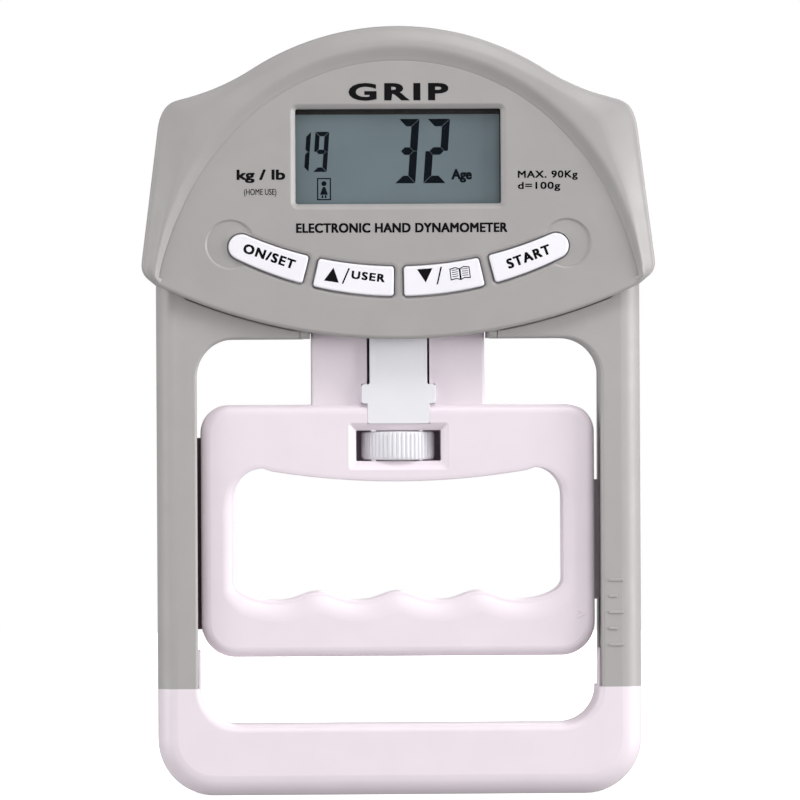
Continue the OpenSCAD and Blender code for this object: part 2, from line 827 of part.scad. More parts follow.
module grip_body_2d(inset) {
    difference() {
        union() {
            grip_2d(inset);
            translate([-neck_hw + inset, grip_top - 4]) square([2 * (neck_hw - inset), 1]);
        }
        offset(delta = inset) finger_2d();
    }
}

// Hollow of a grip half, around its screw posts and the solid block that carries the gear
module grip_cavity_2d(post_r) {
    difference() {
        grip_body_2d(grip_wall - 0.2);
        translate([-18, 78]) square([36, 30]);
        for (p = screws_grip) translate(p) circle(r = post_r, $fn = 48);
    }
}

// Space kept around the adjusting gear, shared by both halves
module gear_space() {
    box([-window_hw, -20, window_z0], [window_hw, window_back, window_z1]);
    // narrower way out at the back, through which the wheel just shows
    box([-window_back_hw, window_back - 1, window_z0], [window_back_hw, 30, window_z1]);
    rod_z(0, y_axis, window_z0 - washer_t - washer_gap, window_z1 + washer_t + washer_gap, 6.1);
    rod_z(0, y_axis, screw_bottom - 0.4, neck_top + 2, screw_r + 0.4);
    box([-stem_hw - 0.65, -20, stem_mid_top + 0.1], [stem_hw + 0.65, stem_back + 0.2, neck_top + 1]);
    box([-stem_mid_hw - 0.1, -20, grip_top + 0.1],
        [stem_mid_hw + 0.1, stem_back + 0.2, stem_mid_top + 0.2]);
    box([-stem_low_hw - 0.1, -20, stem_low_z - 0.2],
        [stem_low_hw + 0.1, stem_back + 0.2, grip_top + 0.2]);
}

module window_bevel() {
    slab(-20, y_grip + 0.8) translate(bevel_outer[0]) square(bevel_outer[1]);
    slab(-20, y_grip + 1.6) translate(bevel_inner[0]) square(bevel_inner[1]);
}

module grip_front() {
    color(blush) difference() {
        union() {
            difference() {
                union() {
                    slab(y_grip + 2, y_split) grip_body_2d(0);
                    slab(y_grip, y_split) grip_body_2d(1.4);
                }
                slab(y_grip + grip_wall, y_split + eps) grip_cavity_2d(3);
            }
            box([-neck_hw, y_neck, grip_top - 1], [neck_hw, y_split, neck_top]);
            box([-grip_hw - tongue_reach, y_axis - tongue_t / 2, tongue_left[0]],
                [-grip_hw + tongue_root, y_split, tongue_left[1]]);
            box([grip_hw - tongue_root, y_axis - tongue_t / 2, tongue_right[0]],
                [grip_hw + tongue_reach, y_split, tongue_right[1]]);
            // pointer that reads against the scale
            slab(y_grip - 0.25, y_grip + 0.5)
                polygon([[43.6, scale_z - 1.6], [46.2, scale_z - 0.4], [43.6, scale_z + 0.8]]);
        }
        gear_space();
        window_bevel();
        for (p = screws_grip) rod_y(p, y_grip + 2, y_split + eps, pilot_r);
    }
}

module grip_rear() {
    color(blush) difference() {
        union() {
            difference() {
                union() {
                    slab(y_split, y_grip_back - 2) grip_body_2d(0);
                    slab(y_split, y_grip_back) grip_body_2d(1.4);
                }
                slab(y_split - eps, y_grip_back - grip_wall) grip_cavity_2d(3.4);
            }
            box([-neck_hw, y_split, grip_top - 1], [neck_hw, y_neck_back, neck_top]);
            box([-grip_hw - tongue_reach, y_split, tongue_left[0]],
                [-grip_hw + tongue_root, y_axis + tongue_t / 2, tongue_left[1]]);
            box([grip_hw - tongue_root, y_split, tongue_right[0]],
                [grip_hw + tongue_reach, y_axis + tongue_t / 2, tongue_right[1]]);
        }
        gear_space();
        for (p = screws_grip) {
            rod_y(p, y_seat, y_grip_back + eps, head_r + 0.3);
            rod_y(p, y_split - eps, y_seat + eps, clear_r);
        }
    }
}

// White sleeve around the screw, with shoulders that rest on the grip
module stem_sleeve() {
    color(white) difference() {
        union() {
            box([-stem_hw, y_grip, grip_top], [stem_hw, stem_back, stem_top]);
            box([-stem_mid_hw, y_grip, grip_top + 0.2], [stem_mid_hw, stem_back, stem_mid_top]);
            box([-stem_low_hw, y_grip, stem_low_z], [stem_low_hw, stem_back, grip_top + 0.3]);
        }
        rod_z(0, y_axis, stem_low_z - 1, stem_top + 1, screw_r + 0.5);
    }
}

module thrust_washers() {
    color(brass) for (z = [window_z0 - washer_t, window_z1]) difference() {
        rod_z(0, y_axis, z, z + washer_t, 6);
        rod_z(0, y_axis, z - 1, z + washer_t + 1, screw_r + 0.4);
    }
}

module grip_screws() {
    color(steel) for (p = screws_grip) screw_y(p, y_seat + 0.02, -2);
}

module knurled_wheel() {
    rim = [for (i = [0:wheel_ribs - 1]) for (k = [0:3])
        let (a = 360 * (i + k / 4) / wheel_ribs, r = k < 2 ? wheel_r : wheel_r - 0.4)
        r * [cos(a), sin(a)]];
    color(white) difference() {
        union() {
            translate([0, y_axis, wheel_z0]) linear_extrude(height = wheel_h) polygon(rim);
            rod_z(0, y_axis, window_z0 + washer_gap, window_z1 - washer_gap, 5.4);
        }
        rod_z(0, y_axis, window_z0 - 1, window_z1 + 1, screw_r + 0.02);
    }
}

module adjust_screw() {
    color(steel) difference() {
        union() {
            rod_z(0, y_axis, screw_bottom, screw_top - 1, screw_r);
            translate([0, y_axis, screw_top - 1])
                cylinder(h = 1, r1 = screw_r, r2 = screw_r - 0.8, $fn = 64);
        }
        box([-0.5, 0, screw_top - 1], [0.5, 6, screw_top + 1]);
    }
}

// Nut that hangs on the free end of the load cell
module pull_nut() {
    top = cell_z + cell[2] + squeeze + 0.1;
    color(brass) difference() {
        union() {
            rod_z(0, y_axis, cell_z + 0.3, top + 0.1, nut_r);
            rod_z(0, y_axis, top, top + nut_flange_t, nut_flange_r);
        }
        rod_z(0, y_axis, cell_z - 1, top + nut_flange_t + 1, screw_r + run_gap);
    }
}

head_cover();
front_frame();
rear_shell();
palm_bar_front();
palm_bar_rear();
display_window();
display_gasket();
lcd_panel();
lcd_holder();
zebra_strips();
main_pcb();
pcb_chips();
keypad_mat();
pcb_screws();
load_cell();
strain_gauges();
load_cell_screws();
gauge_wires();
battery_wires();
batteries();
battery_springs();
battery_contacts();
battery_door();
housing_screws();
palm_bar_screws();
pull_nut();
grip_front();
grip_rear();
stem_sleeve();
thrust_washers();
grip_screws();
knurled_wheel();
adjust_screw();
button_on_set();
button_up();
button_down();
button_start();
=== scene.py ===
"""Electronic hand dynamometer: the visible surfaces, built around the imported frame."""
import json
import math
import bpy
import bmesh
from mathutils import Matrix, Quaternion, Vector
from mathutils.geometry import delaunay_2d_cdt


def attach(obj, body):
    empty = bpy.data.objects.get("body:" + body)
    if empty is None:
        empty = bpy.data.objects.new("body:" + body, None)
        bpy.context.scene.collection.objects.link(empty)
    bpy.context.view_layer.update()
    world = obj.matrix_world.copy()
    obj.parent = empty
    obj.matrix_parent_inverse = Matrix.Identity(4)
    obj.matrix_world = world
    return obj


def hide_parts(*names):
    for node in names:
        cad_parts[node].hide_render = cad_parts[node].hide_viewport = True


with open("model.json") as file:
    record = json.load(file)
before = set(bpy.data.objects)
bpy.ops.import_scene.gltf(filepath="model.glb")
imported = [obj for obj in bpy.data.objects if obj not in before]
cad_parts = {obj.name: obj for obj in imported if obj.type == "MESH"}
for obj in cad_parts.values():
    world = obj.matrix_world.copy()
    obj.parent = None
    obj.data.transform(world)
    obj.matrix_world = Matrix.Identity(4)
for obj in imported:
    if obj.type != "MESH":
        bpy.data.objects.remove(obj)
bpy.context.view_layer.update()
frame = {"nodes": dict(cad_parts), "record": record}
MM = 0.001
HOUSING = "housing"
GRIP = "grip"

# ---------- outlines, in millimetres: lists of (x, z), counter-clockwise from the front ----------


def arc(centre, radius, start, end, steps):
    turns = [math.radians(start + (end - start) * i / steps) for i in range(steps + 1)]
    return [(centre[0] + radius * math.cos(t), centre[1] + radius * math.sin(t)) for t in turns]


def bezier(a, b, c, steps):
    out = []
    for i in range(steps + 1):
        t = i / steps
        out.append(tuple((1 - t) ** 2 * a[k] + 2 * t * (1 - t) * b[k] + t * t * c[k] for k in (0, 1)))
    return out


def straight(a, b, steps):
    return [tuple(a[k] + (b[k] - a[k]) * i / steps for k in (0, 1)) for i in range(steps + 1)]


def chain(*parts):
    """Joins point lists, leaving out points that repeat."""
    out = []
    for part in parts:
        for p in part:
            if not out or math.dist(out[-1], p) > 0.01:
                out.append(p)
    if math.dist(out[0], out[-1]) < 0.01:
        out.pop()
    return out


def mirrored(points):
    return [(-x, z) for x, z in reversed(points)]


def rounded(corners, steps=6):
    """Closed outline through (x, z, radius) corners."""
    out = []
    count = len(corners)
    for i, (x, z, radius) in enumerate(corners):
        here = Vector((x, z))
        if radius == 0:
            out.append((x, z))
            continue
        u = (Vector(corners[i - 1][:2]) - here).normalized()
        v = (Vector(corners[(i + 1) % count][:2]) - here).normalized()
        half = u.angle(v) / 2
        centre = here + (u + v).normalized() * radius / math.sin(half)
        first = here + u * radius / math.tan(half) - centre
        last = here + v * radius / math.tan(half) - centre
        sweep = math.atan2(first.x * last.y - first.y * last.x, first.dot(last))
        for k in range(steps + 1):
            t = sweep * k / steps
            out.append((centre.x + first.x * math.cos(t) - first.y * math.sin(t),
                        centre.y + first.x * math.sin(t) + first.y * math.cos(t)))
    return out


def rectangle(x0, z0, x1, z1, radius):
    return rounded([(x0, z0, radius), (x1, z0, radius), (x1, z1, radius), (x0, z1, radius)])


def inset(outline, distance):
    """Moves a closed outline inwards; distance is a number or one per side, from each point to the next."""
    many = distance if isinstance(distance, list) else [distance] * len(outline)
    out = []
    count = len(outline)
    for i, p in enumerate(outline):
        a, b, c = Vector(outline[i - 1]), Vector(p), Vector(outline[(i + 1) % count])
        e1, e2 = (b - a).normalized(), (c - b).normalized()
        n1, n2 = Vector((-e1.y, e1.x)), Vector((-e2.y, e2.x))
        d1, d2 = many[i - 1], many[i]
        det = n1.x * n2.y - n1.y * n2.x
        if abs(det) < 0.05:
            step = (n1 + n2).normalized() * (d1 + d2) / 2
        else:
            step = Vector((d1 * n2.y - d2 * n1.y, n1.x * d2 - n2.x * d1)) / det
        out.append((p[0] + step.x, p[1] + step.y))
    return out


# ---------- closed shells ----------


class Shell:
    """Collects one closed moulding from rings of points, in millimetres."""

    def __init__(self, verts=(), faces=()):
        self.verts, self.faces = list(verts), list(faces)
        self.fronts, self.backs = [], []

    def ring(self, outline, y):
        base = len(self.verts)
        depth = y if isinstance(y, list) else [y] * len(outline)
        self.verts += [(p[0], d, p[1]) for p, d in zip(outline, depth)]
        return list(range(base, base + len(outline)))

    def ring3(self, points):
        base = len(self.verts)
        self.verts += points
        return list(range(base, base + len(points)))

    def skin(self, rings):
        for a, b in zip(rings, rings[1:]):
            n = len(a)
            self.faces += [(a[i], a[(i + 1) % n], b[(i + 1) % n], b[i]) for i in range(n)]

    def wall(self, rings):
        """Skin from one flat face to the other; close() makes the faces between all walls."""
        self.skin(rings)
        self.fronts.append(rings[0])
        self.backs.append(rings[-1])

    def close(self):
        self.cap(*self.fronts)
        self.cap(*self.backs)
        return self

    def solid(self, rings):
        """Skin closed with one plain face at each end."""
        self.skin(rings)
        self.faces += [tuple(rings[0]), tuple(rings[-1])]
        return self

    def loop(self, rings):
        """Skin that comes back to its first ring."""
        self.skin(rings + rings[:1])
        return self

    def cap(self, *rings):
        """Flat face bounded by the first ring, with the others as holes."""
        ids = [i for ring in rings for i in ring]
        points = [Vector((self.verts[i][0], self.verts[i][2])) for i in ids]
        edges, base = [], 0
        for ring in rings:
            n = len(ring)
            edges += [(base + k, base + (k + 1) % n) for k in range(n)]
            base += n
        flat = delaunay_2d_cdt(points, edges, [], 0, 1e-5)
        if len(flat[0]) != len(points):
            raise ValueError(f"outlines of a cap cross: {len(points)} points became {len(flat[0])}")
        origin = [o[0] for o in flat[3]]
        segments = [(points[a], points[b]) for a, b in edges]
        for tri in flat[2]:
            at = sum((flat[0][k] for k in tri), Vector((0, 0))) / 3
            crossings = sum(1 for p, q in segments if (p.y > at.y) != (q.y > at.y)
                            and at.x < (q.x - p.x) * (at.y - p.y) / (q.y - p.y) + p.x)
            if crossings % 2:
                self.faces.append(tuple(ids[origin[k]] for k in tri))

    def mesh(self, name):
        me = bpy.data.meshes.new(name)
        me.from_pydata([tuple(c * MM for c in v) for v in self.verts], [], self.faces)
        bm = bmesh.new()
        bm.from_mesh(me)
        bmesh.ops.remove_doubles(bm, verts=bm.verts, dist=2e-6)
        bmesh.ops.recalc_face_normals(bm, faces=bm.faces)
        bm.to_mesh(me)
        bm.free()
        return me


SUPPORT = 0.2


def fillet(radius, y_face, y_side, steps=5):
    """(inset, y) steps from a flat face at y_face round to a side wall; y_side is +1 towards +Y."""
    out = [(radius + min(SUPPORT, radius / 2), y_face)]
    for k in range(steps + 1):
        t = math.pi / 2 * k / steps
        out.append((radius * (1 - math.sin(t)), y_face + y_side * radius * (1 - math.cos(t))))
    return out


def lay_rings(shell, outline, steps, sign=1):
    """Rings of an outline at (inset, y) steps."""
    return [shell.ring(inset(outline, sign * d), y) for d, y in steps]


def soft_rings(shell, outline, radii, y_face, y_side, steps=6):
    """Rings from a flat face round to the walls, where each side has its own radius."""
    corner = [max(radii[i - 1], radii[i]) for i in range(len(radii))]
    rings = [shell.ring(inset(outline, [r + (SUPPORT if r else 0) for r in radii]), y_face)]
    for k in range(steps + 1):
        t = math.pi / 2 * k / steps
        ys = [y_face + y_side * r * (1 - math.cos(t)) for r in corner]
        rings.append(shell.ring(inset(outline, [r * (1 - math.sin(t)) for r in radii]), ys))
    return rings


def plate(outer, holes, y0, y1, r0, r1, hole_r=0.5):
    """Closed plate between y0 (front) and y1, with round edges. Each hole is an outline."""
    shell = Shell()
    shell.wall(lay_rings(shell, outer, fillet(r0, y0, 1) + fillet(r1, y1, -1)[::-1]))
    for hole in holes:
        shell.wall(lay_rings(shell, hole, fillet(hole_r, y0, 1) + fillet(hole_r, y1, -1)[::-1], -1))
    return shell.close()


def prism(outline, y0, y1):
    """A plain closed prism, used to cut other shells."""
    shell = Shell()
    return shell.solid([shell.ring(outline, y) for y in (y0, y1)])


def block(lo, hi):
    return prism([(lo[0], lo[2]), (hi[0], lo[2]), (hi[0], hi[2]), (lo[0], hi[2])], lo[1], hi[1])


def lathe_y(centre, profile, steps=48):
    """Closed turned shape around a line along Y; profile is (radius, y) from end to end."""
    shell = Shell()
    return shell.solid([shell.ring(arc(centre, r, 0, 360 - 360 / steps, steps - 1), y) for r, y in profile])


def pillars(places, radius, y0, y1):
    """Round pillars along Y: screw posts, or the holes of screws."""
    return [lathe_y(place, [(radius, y0), (radius, y1)], 40) for place in places]


def lathe_z(x, y, profile, steps=64):
    """Closed turned shape around a line along Z; profile is (radius, z) from end to end."""
    shell = Shell()
    rings = []
    for r, z in profile:
        around = arc((x, y), r, 0, 360 - 360 / steps, steps - 1)
        rings.append(shell.ring3([(*p, z) for p in around]))
    return shell.solid(rings)


def merged(*shells):
    out = Shell()
    for s in shells:
        base = len(out.verts)
        out.verts += s.verts
        out.faces += [tuple(i + base for i in f) for f in s.faces]
    return out


def moved(shell, rule):
    """The same shell with each point where rule(x, y, z) puts it."""
    return Shell([rule(*v) for v in shell.verts], shell.faces)


def flipped(shell):
    """The same shell on the other side of the middle."""
    return moved(shell, lambda x, y, z: (-x, y, z))


def new_object(name, mesh):
    obj = bpy.data.objects.new(name, mesh)
    bpy.context.scene.collection.objects.link(obj)
    return obj


def combine(obj, shell, operation):
    """Applies an exact boolean of obj with a shell."""
    tool = new_object("tool", shell.mesh("tool"))
    mod = obj.modifiers.new("cut", "BOOLEAN")
    mod.operation = operation
    mod.solver = "EXACT"
    mod.use_self = operation == "UNION"
    mod.object = tool
    graph = bpy.context.evaluated_depsgraph_get()
    done = bpy.data.meshes.new_from_object(obj.evaluated_get(graph))
    obj.modifiers.clear()
    old = obj.data
    obj.data = done
    bpy.data.meshes.remove(old)
    bpy.data.objects.remove(tool)


def finish(obj, material, sharp):
    """Smooth shading up to an angle in degrees, and one material."""
    obj.data.shade_smooth()
    obj.data.set_sharp_from_angle(angle=math.radians(sharp))
    obj.data.materials.clear()
    obj.data.materials.append(material)


def piece(name, shell, body, slot, replaces=(), cuts=(), joins=(), look=None, sharp=32):
    """Makes a finished piece from a shell and puts it on its CAD body.
    look names its material where that isn't the slot's own."""
    obj = new_object(name, shell.mesh(name))
    for other in joins:
        combine(obj, other, "UNION")
    for other in cuts:
        combine(obj, other, "DIFFERENCE")
    obj.data.name = name
    finish(obj, M[look or slot], sharp)
    for face in obj.data.polygons:
        if abs(face.normal.y) > 0.99999:
            face.use_smooth = False
    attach(obj, body)
    if replaces:
        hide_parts(*replaces)


# ---------- materials ----------


def linear(r, g, b):
    """Screen colour, 0 to 255, as the linear colour that a shader takes."""
    shares = [c / 255 for c in (r, g, b)]
    return tuple(((c + 0.055) / 1.055) ** 2.4 if c > 0.04 else c / 12.92 for c in shares) + (1.0,)


class Look:
    """One procedural material, built on a Principled shader."""

    def __init__(self, name, metallic=0.0, coat=0.0):
        self.mat = bpy.data.materials.new(name)
        self.mat.use_nodes = True
        self.tree = self.mat.node_tree
        self.shader = self.tree.nodes["Principled BSDF"]
        self.shader.inputs["Metallic"].default_value = metallic
        self.shader.inputs["Coat Weight"].default_value = coat
        self.place = self.tree.nodes.new("ShaderNodeTexCoord").outputs["Object"]
        self.height = None

    def link(self, a, b):
        self.tree.links.new(a, b)

    def noise(self, size_mm, detail=3.0, stretch=(1, 1, 1)):
        """Noise whose grains are about size_mm across."""
        mapping = self.tree.nodes.new("ShaderNodeMapping")
        mapping.inputs["Scale"].default_value = [s / (size_mm * MM) for s in stretch]
        self.link(self.place, mapping.inputs["Vector"])
        noise = self.tree.nodes.new("ShaderNodeTexNoise")
        noise.inputs["Scale"].default_value = 1.0
        noise.inputs["Detail"].default_value = detail
        self.link(mapping.outputs["Vector"], noise.inputs["Vector"])
        return noise.outputs["Fac"]

    def colour(self, value, low, high, start=0.35, end=0.65):
        node = self.tree.nodes.new("ShaderNodeValToRGB")
        for element, at, shade in zip(node.color_ramp.elements, (start, end), (low, high)):
            element.position = at
            element.color = shade
        self.link(value, node.inputs["Fac"])
        self.link(node.outputs["Color"], self.shader.inputs["Base Color"])

    def roughness(self, value, low, high):
        node = self.tree.nodes.new("ShaderNodeMapRange")
        for field, number in (("From Min", 0.3), ("From Max", 0.7), ("To Min", low), ("To Max", high)):
            node.inputs[field].default_value = number
        self.link(value, node.inputs["Value"])
        self.link(node.outputs["Result"], self.shader.inputs["Roughness"])

    def bump(self, value, depth_mm):
        node = self.tree.nodes.new("ShaderNodeBump")
        node.inputs["Strength"].default_value = 1.0
        node.inputs["Distance"].default_value = depth_mm * MM
        self.link(value, node.inputs["Height"])
        if self.height is not None:
            self.link(self.height, node.inputs["Normal"])
        self.height = node.outputs["Normal"]
        self.link(self.height, self.shader.inputs["Normal"])


def shaded(rgb, share):
    return tuple(c * share for c in rgb[:3]) + (1.0,)


def plastic(name, rgb, rough, grain_mm, bump_mm, mottle=0.04):
    look = Look(name)
    look.colour(look.noise(9.0, 4.0), shaded(rgb, 1 - mottle), shaded(rgb, 1 + mottle))
    look.roughness(look.noise(2.5), rough - 0.05, rough + 0.05)
    look.bump(look.noise(6.0, 2.0), bump_mm * 2)
    look.bump(look.noise(grain_mm, 2.0), bump_mm)
    return look.mat


def metal(name, rgb, rough, stretch=(1, 1, 1)):
    look = Look(name, metallic=1.0)
    look.colour(look.noise(3.0, 4.0), shaded(rgb, 0.88), shaded(rgb, 1.08))
    brush = look.noise(0.2, 2.0, stretch)
    look.roughness(brush, rough - 0.08, rough + 0.1)
    look.bump(brush, 0.003)
    return look.mat


GREY = linear(164, 161, 160)
BLUSH = linear(233, 222, 230)
WHITE = linear(231, 230, 235)
M = {name: plastic(name, *rest) for name, *rest in (
    ("grey_plastic", GREY, 0.46, 0.28, 0.012, 0.02),
    # a 7% lighter copy of the grey plastic for the front frame pieces: painted light, the same plastic made
    # brighter
    ("grey_frame", shaded(GREY, 1.07), 0.46, 0.28, 0.012, 0.02),
    ("blush_plastic", BLUSH, 0.38, 0.5, 0.003, 0.012),
    # a darker copy of the blush plastic: painted shade for the left grip tongue, which sits in shadow in the
    # gap beside the leg
    ("blush_shade", linear(120, 100, 104), 0.5, 0.5, 0.003, 0.04),
    ("white_plastic", WHITE, 0.4, 0.4, 0.003, 0.012),
    ("key_white", linear(240, 238, 244), 0.35, 0.4, 0.002, 0.01),
    ("black_foam", linear(22, 19, 17), 0.8, 0.25, 0.03, 0.2),
    ("holder_plastic", linear(225, 225, 226), 0.5, 0.5, 0.004),
    ("zebra", linear(50, 50, 53), 0.7, 0.3, 0.01, 0.1),
    ("chip_black", linear(28, 28, 30), 0.45, 0.25, 0.006, 0.1),
    ("silicone", linear(205, 205, 205), 0.55, 0.6, 0.004, 0.05),
    ("gauge_foil", linear(205, 150, 70), 0.4, 0.3, 0.002, 0.1),
    ("red_wire", linear(180, 40, 34), 0.45, 0.6, 0.004, 0.05),
    ("dark_wire", linear(38, 38, 42), 0.45, 0.6, 0.004, 0.05),
    ("print_black", linear(17, 16, 18), 0.7, 0.3, 0.001, 0.15),
    ("segment", linear(8, 15, 23), 0.7, 0.6, 0.001, 0.1))}
M.update((name, metal(name, *rest)) for name, *rest in (
    ("steel", linear(196, 197, 200), 0.32),
    ("aluminium", linear(205, 206, 208), 0.38, (0.1, 1, 1)),
    ("brass", linear(214, 176, 98), 0.3, (1, 1, 0.1))))


def display_look():
    """Reflective display: a blue-grey ground with faint mottling."""
    look = Look("lcd", coat=0.3)
    look.colour(look.noise(22.0, 5.0), linear(97, 111, 118), linear(106, 121, 126), 0.3, 0.7)
    look.roughness(look.noise(1.5), 0.3, 0.4)
    look.bump(look.noise(0.6, 2.0), 0.002)
    return look.mat


def window_look():
    """Clear sheet in front of the display: lets most light through and keeps a faint gloss."""
    look = Look("clear_window")
    look.colour(look.noise(8.0), linear(62, 66, 68), linear(70, 74, 76))
    look.roughness(look.noise(3.0), 0.08, 0.16)
    look.shader.inputs["Alpha"].default_value = 0.012
    look.shader.inputs["Specular IOR Level"].default_value = 0.2
    return look.mat


def board_look():
    """Solder mask with faint copper tracks under it."""
    look = Look("circuit_board", coat=0.4)
    tracks = look.noise(1.6, 1.0, (1, 1, 0.2))
    look.colour(tracks, linear(18, 72, 44), linear(34, 104, 62), 0.48, 0.52)
    look.roughness(look.noise(0.8), 0.32, 0.42)
    look.bump(tracks, 0.03)
    return look.mat


def battery_look():
    """Printed sleeve: dark green with a faint mottling under a clear coat."""
    look = Look("battery", coat=0.5)
    look.colour(look.noise(5.0, 2.0), linear(24, 66, 58), linear(34, 84, 72))
    look.roughness(look.noise(1.2), 0.24, 0.34)
    look.bump(look.noise(0.8, 2.0), 0.004)
    return look.mat


for ink in ("print_black", "segment"):
    M[ink].node_tree.nodes["Principled BSDF"].inputs["Specular IOR Level"].default_value = 0.06
M["lcd"] = display_look()
M["clear_window"] = window_look()
M["circuit_board"] = board_look()
M["battery"] = battery_look()

# ---------- main sizes, in millimetres ----------

Y_RIM, KEY_Y, Y_PANEL, Y_INNER, Y_LEG = -15.0, -13.95, -13.4, -11.4, -10.0
Y_SPLIT, Y_BACK = 2.5, 15.0
Y_GRIP, Y_GRIP_BACK, Y_NECK, Y_NECK_BACK = -6.0, 11.0, -4.0, 9.0
LEG_HW, GAP_HW, GAP_TOP, GAP_R, SEAM_Z = 59.9, 49.95, 112.9, 9.4, 26.5
PANEL_C = (0, 125.6)
SEAM, WALL = 0.12, 2


def table(rows, x):
    """Straight-line lookup in (x, value) rows."""
    for (x0, v0), (x1, v1) in zip(rows, rows[1:]):
        if x <= x1:
            return v0 + (v1 - v0) * max(0, x - x0) / (x1 - x0)
    return rows[-1][1]


def seam_steps(side):
    """(inset, y) steps of a wall that comes from the front (1) or the back (-1) to the split."""
    return [(0, Y_SPLIT - side * SEAM), (SEAM, Y_SPLIT)]


def moulding(outline, rule, y_face, side, inside=()):
    """Half of a housing, from its face to the split; rule(p, q) is the radius of the edge from p to q."""
    shell = Shell()
    radii = [rule(p, outline[(i + 1) % len(outline)]) for i, p in enumerate(outline)]
    rings = soft_rings(shell, outline, radii, y_face, side)
    shell.wall(rings + lay_rings(shell, outline, seam_steps(side) + list(inside)))
    return shell.close()


# ---------- head ----------

# Half width, radius and centre height of the arc below the head and of the dome
LOW_HW, LOW_R, LOW_Z = 59.4, 139, 251.7
DOME_HW, DOME_R, DOME_Z = 36, 67, 123
DOME_A = math.degrees(math.acos(DOME_HW / DOME_R))


def lower_arc():
    end = math.degrees(math.asin(LOW_HW / LOW_R))
    return arc((0, LOW_Z), LOW_R, -90, -90 + end, 34)


def upper_right():
    dome_start = (DOME_HW, DOME_Z + DOME_R * math.sin(math.radians(DOME_A)))
    return chain(bezier((62, 128.2), (63.7, 129.8), (63.4, 132), 6),
                 straight((63.4, 132), (59.3, 164.8), 16),
                 bezier((59.3, 164.8), (58.5, 170.75), (54.6, 171.8), 9),
                 bezier((51.6, 172.6), (43.3, 174.85), dome_start, 8),
                 arc((0, DOME_Z), DOME_R, DOME_A + 2, 90, 20)) + [(0, DOME_Z + DOME_R)]


def head_outline():
    """Closed outline, and how many of its first points are the lower arc."""
    low = mirrored(lower_arc())[:-1] + lower_arc()
    up = chain(upper_right())
    up = up[:-1] if math.dist(up[-1], up[-2]) < 0.5 else up
    return low + up + mirrored(up)[1:], len(low)


# By degrees above the horizontal: distance from PANEL_C to the panel's edge, to the ridge and to the
# crease outside it, then the depth of the crease and of the outer edge
PANEL_R = [(0, 59.6), (5, 59.0), (10, 58.2), (20, 57.0), (30, 56.4), (40, 55.9), (90, 55.9)]
RIDGE_R = [(0, 60.1), (5, 59.9), (10, 59.5), (20, 59.0), (50, 58.9), (90, 59.3)]
CREASE_R = [(0, 60.4), (10, 60.2), (20, 60.6), (30, 61.7), (36, 63.6), (40, 64.6), (60, 61.5), (90, 61.0)]
CREASE_Y = [(0, -14.9), (20, -14.8), (30, -14.6), (36, -14.4), (40, -14.6), (60, -14.75), (90, -14.7)]
EDGE_Y = [(0, -12.8), (10, -12.4), (25, -11.8), (35, -11.5), (39, -12.3), (46, -12.8), (60, -13.2),
          (90, -13.3)]
RIM_ROWS = 24


def smooth_path(knots, s, reach):
    return sum(table(knots, s + reach * k / 3) for k in range(-3, 4)) / 7


def rim_rows(angle, width, start):
    """(share of the width, y) from the edge of the panel to the outline."""
    ridge = table(RIDGE_R, angle) - start
    crease = max(table(CREASE_R, angle) - start, ridge + 0.4)
    edge = min(0.9, width * 0.25)
    crease = min(crease, width - edge - 0.3)
    ridge = min(ridge, crease - 0.2)
    knots = [(-1, Y_PANEL), (0.3, Y_PANEL), (ridge, Y_RIM), (crease, table(CREASE_Y, angle)),
             (width - edge, table(EDGE_Y, angle))]
    knots.append((width + 3, knots[-1][1] + 1.2))
    stops = [ridge * k / 6 for k in range(6)] + [ridge + (crease - ridge) * k / 6 for k in range(6)]
    stops += [crease + (width - edge - crease) * k / 6 for k in range(7)]
    rows = [(s / width, smooth_path(knots, s, 0.55)) for s in stops]
    y_end = rows[-1][1]
    for k in range(1, 6):
        t = math.pi / 2 * k / 5
        rows.append(((width - edge + edge * math.sin(t)) / width, y_end + 1.1 * edge * (1 - math.cos(t))))
    return rows


def lip_rows(width):
    """Rows across the plain lower edge: flat, then rounded."""
    radius = 1.0
    flat = width - radius
    rows = [(flat * k / 6 / width, Y_PANEL) for k in range(7)]
    for k in range(1, RIM_ROWS - 6):
        t = math.pi / 2 * k / (RIM_ROWS - 7)
        rows.append(((flat + radius * math.sin(t)) / width, Y_PANEL + radius * (1 - math.cos(t))))
    return rows


# Height where the rays of the key band meet, and (centre height, radius) of its upper and lower arc
KEY_Z, KEY_UP, KEY_LOW = 219.2, (224.6, 94), (213.8, 90.5)
KEY_CORNER, KEY_GAP = 0.68, 0.27
END_C = (38.85, 135.55)
END_A = math.degrees(math.atan2(END_C[0], KEY_Z - END_C[1]))


def key_arc_point(angle, centre_z, radius):
    """Where a ray of the key band meets one of its two arcs."""
    t = math.radians(angle)
    up, c = KEY_Z - centre_z, math.cos(t)
    along = up * c + math.sqrt(radius ** 2 - (up * math.sin(t)) ** 2)
    return along * math.sin(t), KEY_Z - along * c


def key_outline(first, last, round_end):
    """Key between two angles of the band; its outer end is half round or has small corners."""
    low = [key_arc_point(first + (last - first) * k / 12, *KEY_LOW) for k in range(13)]
    high = [key_arc_point(last + (first - last) * k / 12, *KEY_UP) for k in range(13)]
    end, corners = [], [low[0], low[-1], high[0], high[-1]]
    if round_end:
        a, b = Vector(low[-1]), Vector(high[0])
        mid, half = (a + b) / 2, (a - b).length / 2
        base = math.degrees(math.atan2(a.y - mid.y, a.x - mid.x))
        end, corners = arc(tuple(mid), half, base, base + 180, 14)[1:-1], [low[0], high[-1]]
    return rounded([(*p, KEY_CORNER if p in corners else 0) for p in low + end + high], 4)


KEY_START = key_outline(14.45, END_A, True)
KEY_DOWN = key_outline(0.8, 12.8, False)
LCD = (-25.35, 146.1, 25.35, 169.5)
RING = (41.5, 136.2)


